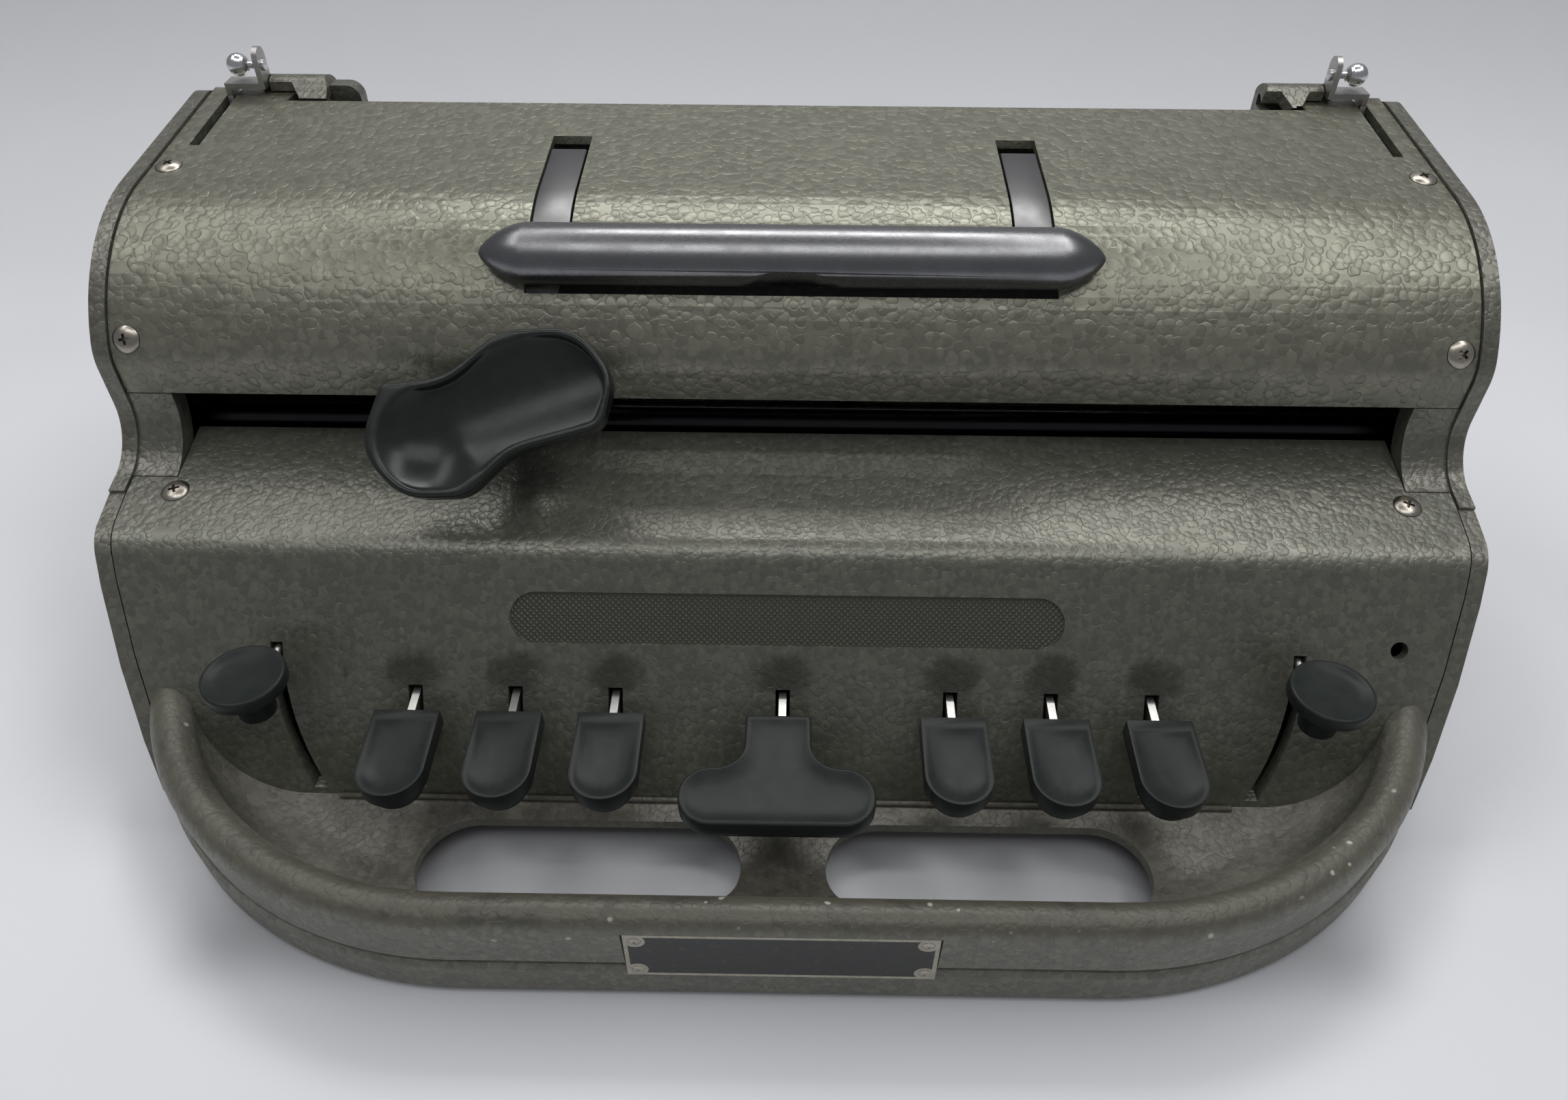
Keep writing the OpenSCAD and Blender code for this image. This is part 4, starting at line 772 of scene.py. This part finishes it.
def thumb_slab(thick):
    """Flat slab in the outline of the thumb piece: the bowl's end at low x, the trough's at high x."""
    outline = rounded_outline([
        (-26.4, 6.5, 1.5), (-31.5, -10, 12), (-20.5, -22.3, 13), (-4, -21.8, 9), (7, -10.5, 16),
        (29.5, -4, 5), (32.4, 9, 10), (23, 21.5, 14), (3, 20.6, 14), (-11, 7.8, 18)])
    slab = begin("thumb_spoon", bpy.ops.mesh.primitive_circle_add, vertices=len(outline),
                 radius=20 * MM, fill_type="NGON")
    edit(slab)
    ring = sorted(bmesh.from_edit_mesh(slab.data).verts, key=lambda v: v.index)
    for vertex, point in zip(ring, outline):
        bpy.ops.mesh.select_all(action="DESELECT")
        vertex.select_set(True)
        bpy.ops.transform.translate(value=Vector((*point, 0)) * MM - vertex.co)
    bpy.ops.mesh.select_all(action="SELECT")
    bpy.ops.mesh.normals_make_consistent(inside=False)
    extrude(0, 0, thick)
    leave(slab)
    slab.data.transform(Matrix.Translation((0, 0, -thick / 2 * MM)))
    return outward(slab)


def inside_rim(slab, rim, high, low):
    """Upright prism over all of the slab's top except a rim."""
    keep = twin(slab, "inside_rim")
    edit(keep)
    pick(keep, "FACE", lambda c, n: n.z > STRAIGHT)
    inset(rim)
    bpy.ops.mesh.select_all(action="INVERT")
    bpy.ops.mesh.delete(type="FACE")
    bpy.ops.mesh.select_all(action="SELECT")
    extrude(0, 0, high)
    leave(keep)
    keep.data.transform(Matrix.Translation((0, 0, -low * MM)))
    outward(keep)
    melt(keep, 0.6, 12)
    return keep


def hollow_for_thumb():
    """A ball for the bowl and a round bar for the trough, run together."""
    ball, bar, turn = 20.0, 24.0, math.radians(20)
    hollow = settle(begin("hollow", bpy.ops.mesh.primitive_uv_sphere_add, segments=96, ring_count=48,
                          radius=ball * MM, location=(-13 * MM, -7.5 * MM, 17.7 * MM)))
    trough = rod("trough", bar, 50, 128, location=(11 * MM, 4 * MM, 22.3 * MM),
                 rotation=(0, math.pi / 2, turn))
    activate(hollow)
    trough.select_set(True)
    bpy.ops.object.join()
    melt(hollow, 0.7, 40)
    return hollow


def thumb_spoon():
    """Moulded thumb rest: a deep bowl that runs out into a trough, inside a round rim."""
    lean = 44
    spoon = thumb_slab(7.0)
    keep = inside_rim(spoon, rim=2.0, high=20, low=6)
    melt(spoon, 0.5, 9)
    hollow = hollow_for_thumb()
    modify(hollow, "BOOLEAN", operation="INTERSECT", object=keep, solver="EXACT")
    bpy.data.objects.remove(keep)
    cut_away(spoon, hollow)
    melt(spoon, 0.45, 8)
    spoon.data.transform(placed(THUMB_PIECE, lean))
    return smooth(outward(spoon), 80)


finish_piece(thumb_spoon(), "carriage_lever", spoon_plastic, ["carriage_thumb_piece"])


# ---------------------------------------------------------------- seam at the panel's foot

def foot_bead():
    """Rounded edge of the base that stands along the foot of the panel."""
    radius, reach = 0.75, 119.0
    y, z = PANEL_FOOT[0] - 0.9, PANEL_FOOT[1] + 0.45
    bead = rod("foot_bead", radius, 2 * reach, 24, rotation=(0, math.pi / 2, 0),
               location=(0, y * MM, z * MM))
    edit(bead)
    pick(bead, "FACE", lambda c, n: abs(n.x) > STRAIGHT)
    inset(0.3, 0.3)
    leave(bead)
    return smooth(outward(bead), 60)


finish_piece(foot_bead(), "body", paint["base"])


# ---------------------------------------------------------------- screws

SCREW_SEATS = [("brow", 173.1, 11.23, 107.1, 60.25), ("top", 173.1, 60, 132.62, 4.5),
               ("ledge", 164.6, -7.99, 72.12, 11.31)]      # x, y and z of the seat, and its lean


def oval_screw():
    """Oval countersunk head with a cross recess; its seat is at z 0."""
    radius, edge, shank = 3.55, 1.6, 9.0
    arm, half_width, floor = 2.15, 0.42, -0.35
    screw = rod("oval_screw", radius, edge, 40, location=(0, 0, -0.7 * MM))
    edit(screw)
    pick(screw, "FACE", lambda c, n: n.z > STRAIGHT)
    for rim, rise in ((0.25, 0.25), (0.5, 0.32), (0.8, 0.28), (0.9, 0.16)):
        inset(rim, rise)
    pick(screw, "FACE", lambda c, n: n.z < -STRAIGHT)
    bpy.ops.transform.resize(value=(0.56, 0.56, 1))
    extrude(0, 0, -shank)
    leave(screw)
    for turn in (0, 1):
        cross = block("cross", (-arm, -half_width, floor), (arm, half_width, 3))
        edit(cross)
        pick(cross, "FACE", lambda c, n: n.z < -STRAIGHT)
        bpy.ops.transform.resize(value=(0.45, 0.8, 1))
        leave(cross)
        cross.data.transform(Matrix.Rotation(turn * math.pi / 2, 4, "Z"))
        cut_away(screw, cross)
    return smooth(outward(screw), 30)


def casing_screws():
    """Six screws, each with its recess turned another way."""
    screw = oval_screw()
    for i, (name, x, y, z, lean) in enumerate(SCREW_SEATS):
        for side, word in ((-1, "left"), (1, "right")):
            turned = Matrix.Rotation(0.5 + i * 0.9 + side * 0.35, 4, "Z")
            copy = twin(screw, f"{word}_{name}_screw", placed((side * x, y, z), lean) @ turned)
            finish_piece(copy, "body", screw_metal, ["casing_screws"])
    bpy.data.objects.remove(screw)


casing_screws()


# ---------------------------------------------------------------- room and camera

PAPER = (0.70, 0.705, 0.73)
LAMPS = {                              # where it hangs, where it points and its size in metres; watts
    "rear_strip": ((0.0, 1.10, 1.82), (0, 0.02, 0.08), (1.3, 0.44), 15.5),
    "right_strip": ((0.84, 0.22, 1.75), (0.05, 0.02, 0.08), (1.4, 0.40), 9.0),
    "left_strip": ((-1.02, 0.28, 1.75), (-0.05, 0.02, 0.08), (1.4, 0.40), 6.2),
    "front_ceiling": ((0.0, -0.80, 2.20), (0, -0.05, 0.05), (2.0, 0.8), 13.0),
}
ROOM_COLOUR, ROOM_STRENGTH = (0.62, 0.64, 0.68), 0.38
CAMERA_AT = (1.8, -245.0, 267.0)
PITCH, YAW, ROLL = math.radians(42), math.radians(-0.70), math.radians(0.285)
FOCAL, PICTURE_WIDTH = 1680, 2296      # in pixels of the picture
FILM = 36


def paper_finish():
    """Pale paper with faint clouds, and painted shade towards the back and beneath the machine."""
    f = Finish("pale_paper", Roughness=0.7)
    x, y, _ = f.axes()
    # painted shade: the paper darkens towards the back
    paper = f.mix(y.step(-100, 750), PAPER, toned(PAPER, 0.58))
    # painted shade beneath the machine, seen through the hand openings
    painted_shade_beneath = abs(x).step(160, 135) * abs(y + 10).step(105, 85)
    paper = f.mix(painted_shade_beneath * 0.55, paper, toned(PAPER, 0.25))
    clouds = f.noise(160.0).step(0.35, 0.7)
    f.set(Base_Color=f.mix(clouds * 0.18, paper, toned(PAPER, 0.62)))
    return f.material


def backdrop():
    """Pale paper that runs along the table and up behind the object."""
    width, depth, middle, rise, lean, bend = 3400, 2600, 100, 1600, 250, 500
    obj = begin("backdrop", bpy.ops.mesh.primitive_plane_add, size=1)
    obj.scale = (width * MM, depth * MM, 1)
    obj.location = (0, middle * MM, 0)
    settle(obj)
    far = middle + depth / 2
    edit(obj)
    pick(obj, "EDGE", lambda c, d: c.y > far - 100)
    extrude(0, lean, rise)
    leave(obj)
    edit(obj)
    pick(obj, "EDGE", lambda c, d: abs(c.y - far) < 60 and abs(d.x) > STRAIGHT)
    bpy.ops.mesh.bevel(offset=bend * MM, segments=12, affect="EDGES")
    leave(obj)
    smooth(obj, 60)
    obj.data.materials.append(paper_finish())


def lamp(name, at, towards, size, power):
    data = bpy.data.lights.new(name, "AREA")
    data.shape = "RECTANGLE"
    data.size, data.size_y = size
    data.energy = power
    obj = bpy.data.objects.new(name, data)
    bpy.context.scene.collection.objects.link(obj)
    obj.location = at
    obj.rotation_euler = (Vector(towards) - Vector(at)).to_track_quat("-Z", "Y").to_euler()


def room_light():
    world = bpy.data.worlds.new("room")
    world.use_nodes = True
    background = world.node_tree.nodes["Background"]
    background.inputs["Color"].default_value = (*ROOM_COLOUR, 1)
    background.inputs["Strength"].default_value = ROOM_STRENGTH
    bpy.context.scene.world = world


def camera():
    data = bpy.data.cameras.new("camera")
    obj = bpy.data.objects.new("camera", data)
    bpy.context.scene.collection.objects.link(obj)
    data.sensor_fit = "HORIZONTAL"
    data.sensor_width = FILM
    data.lens = FOCAL / PICTURE_WIDTH * FILM
    data.clip_start = 10 * MM
    ahead = Vector((math.sin(YAW) * math.cos(PITCH), math.cos(YAW) * math.cos(PITCH), -math.sin(PITCH)))
    side = Vector((math.cos(YAW), -math.sin(YAW), 0))
    above = side.cross(ahead)
    right = side * math.cos(ROLL) + above * math.sin(ROLL)
    up = above * math.cos(ROLL) - side * math.sin(ROLL)
    obj.matrix_world = (Matrix.Translation(Vector(CAMERA_AT) * MM)
                        @ Matrix((right, up, -ahead)).transposed().to_4x4())
    bpy.context.scene.camera = obj


backdrop()
for name, settings in LAMPS.items():
    lamp(name, *settings)
room_light()
bpy.context.scene.view_settings.view_transform = "Standard"
camera()
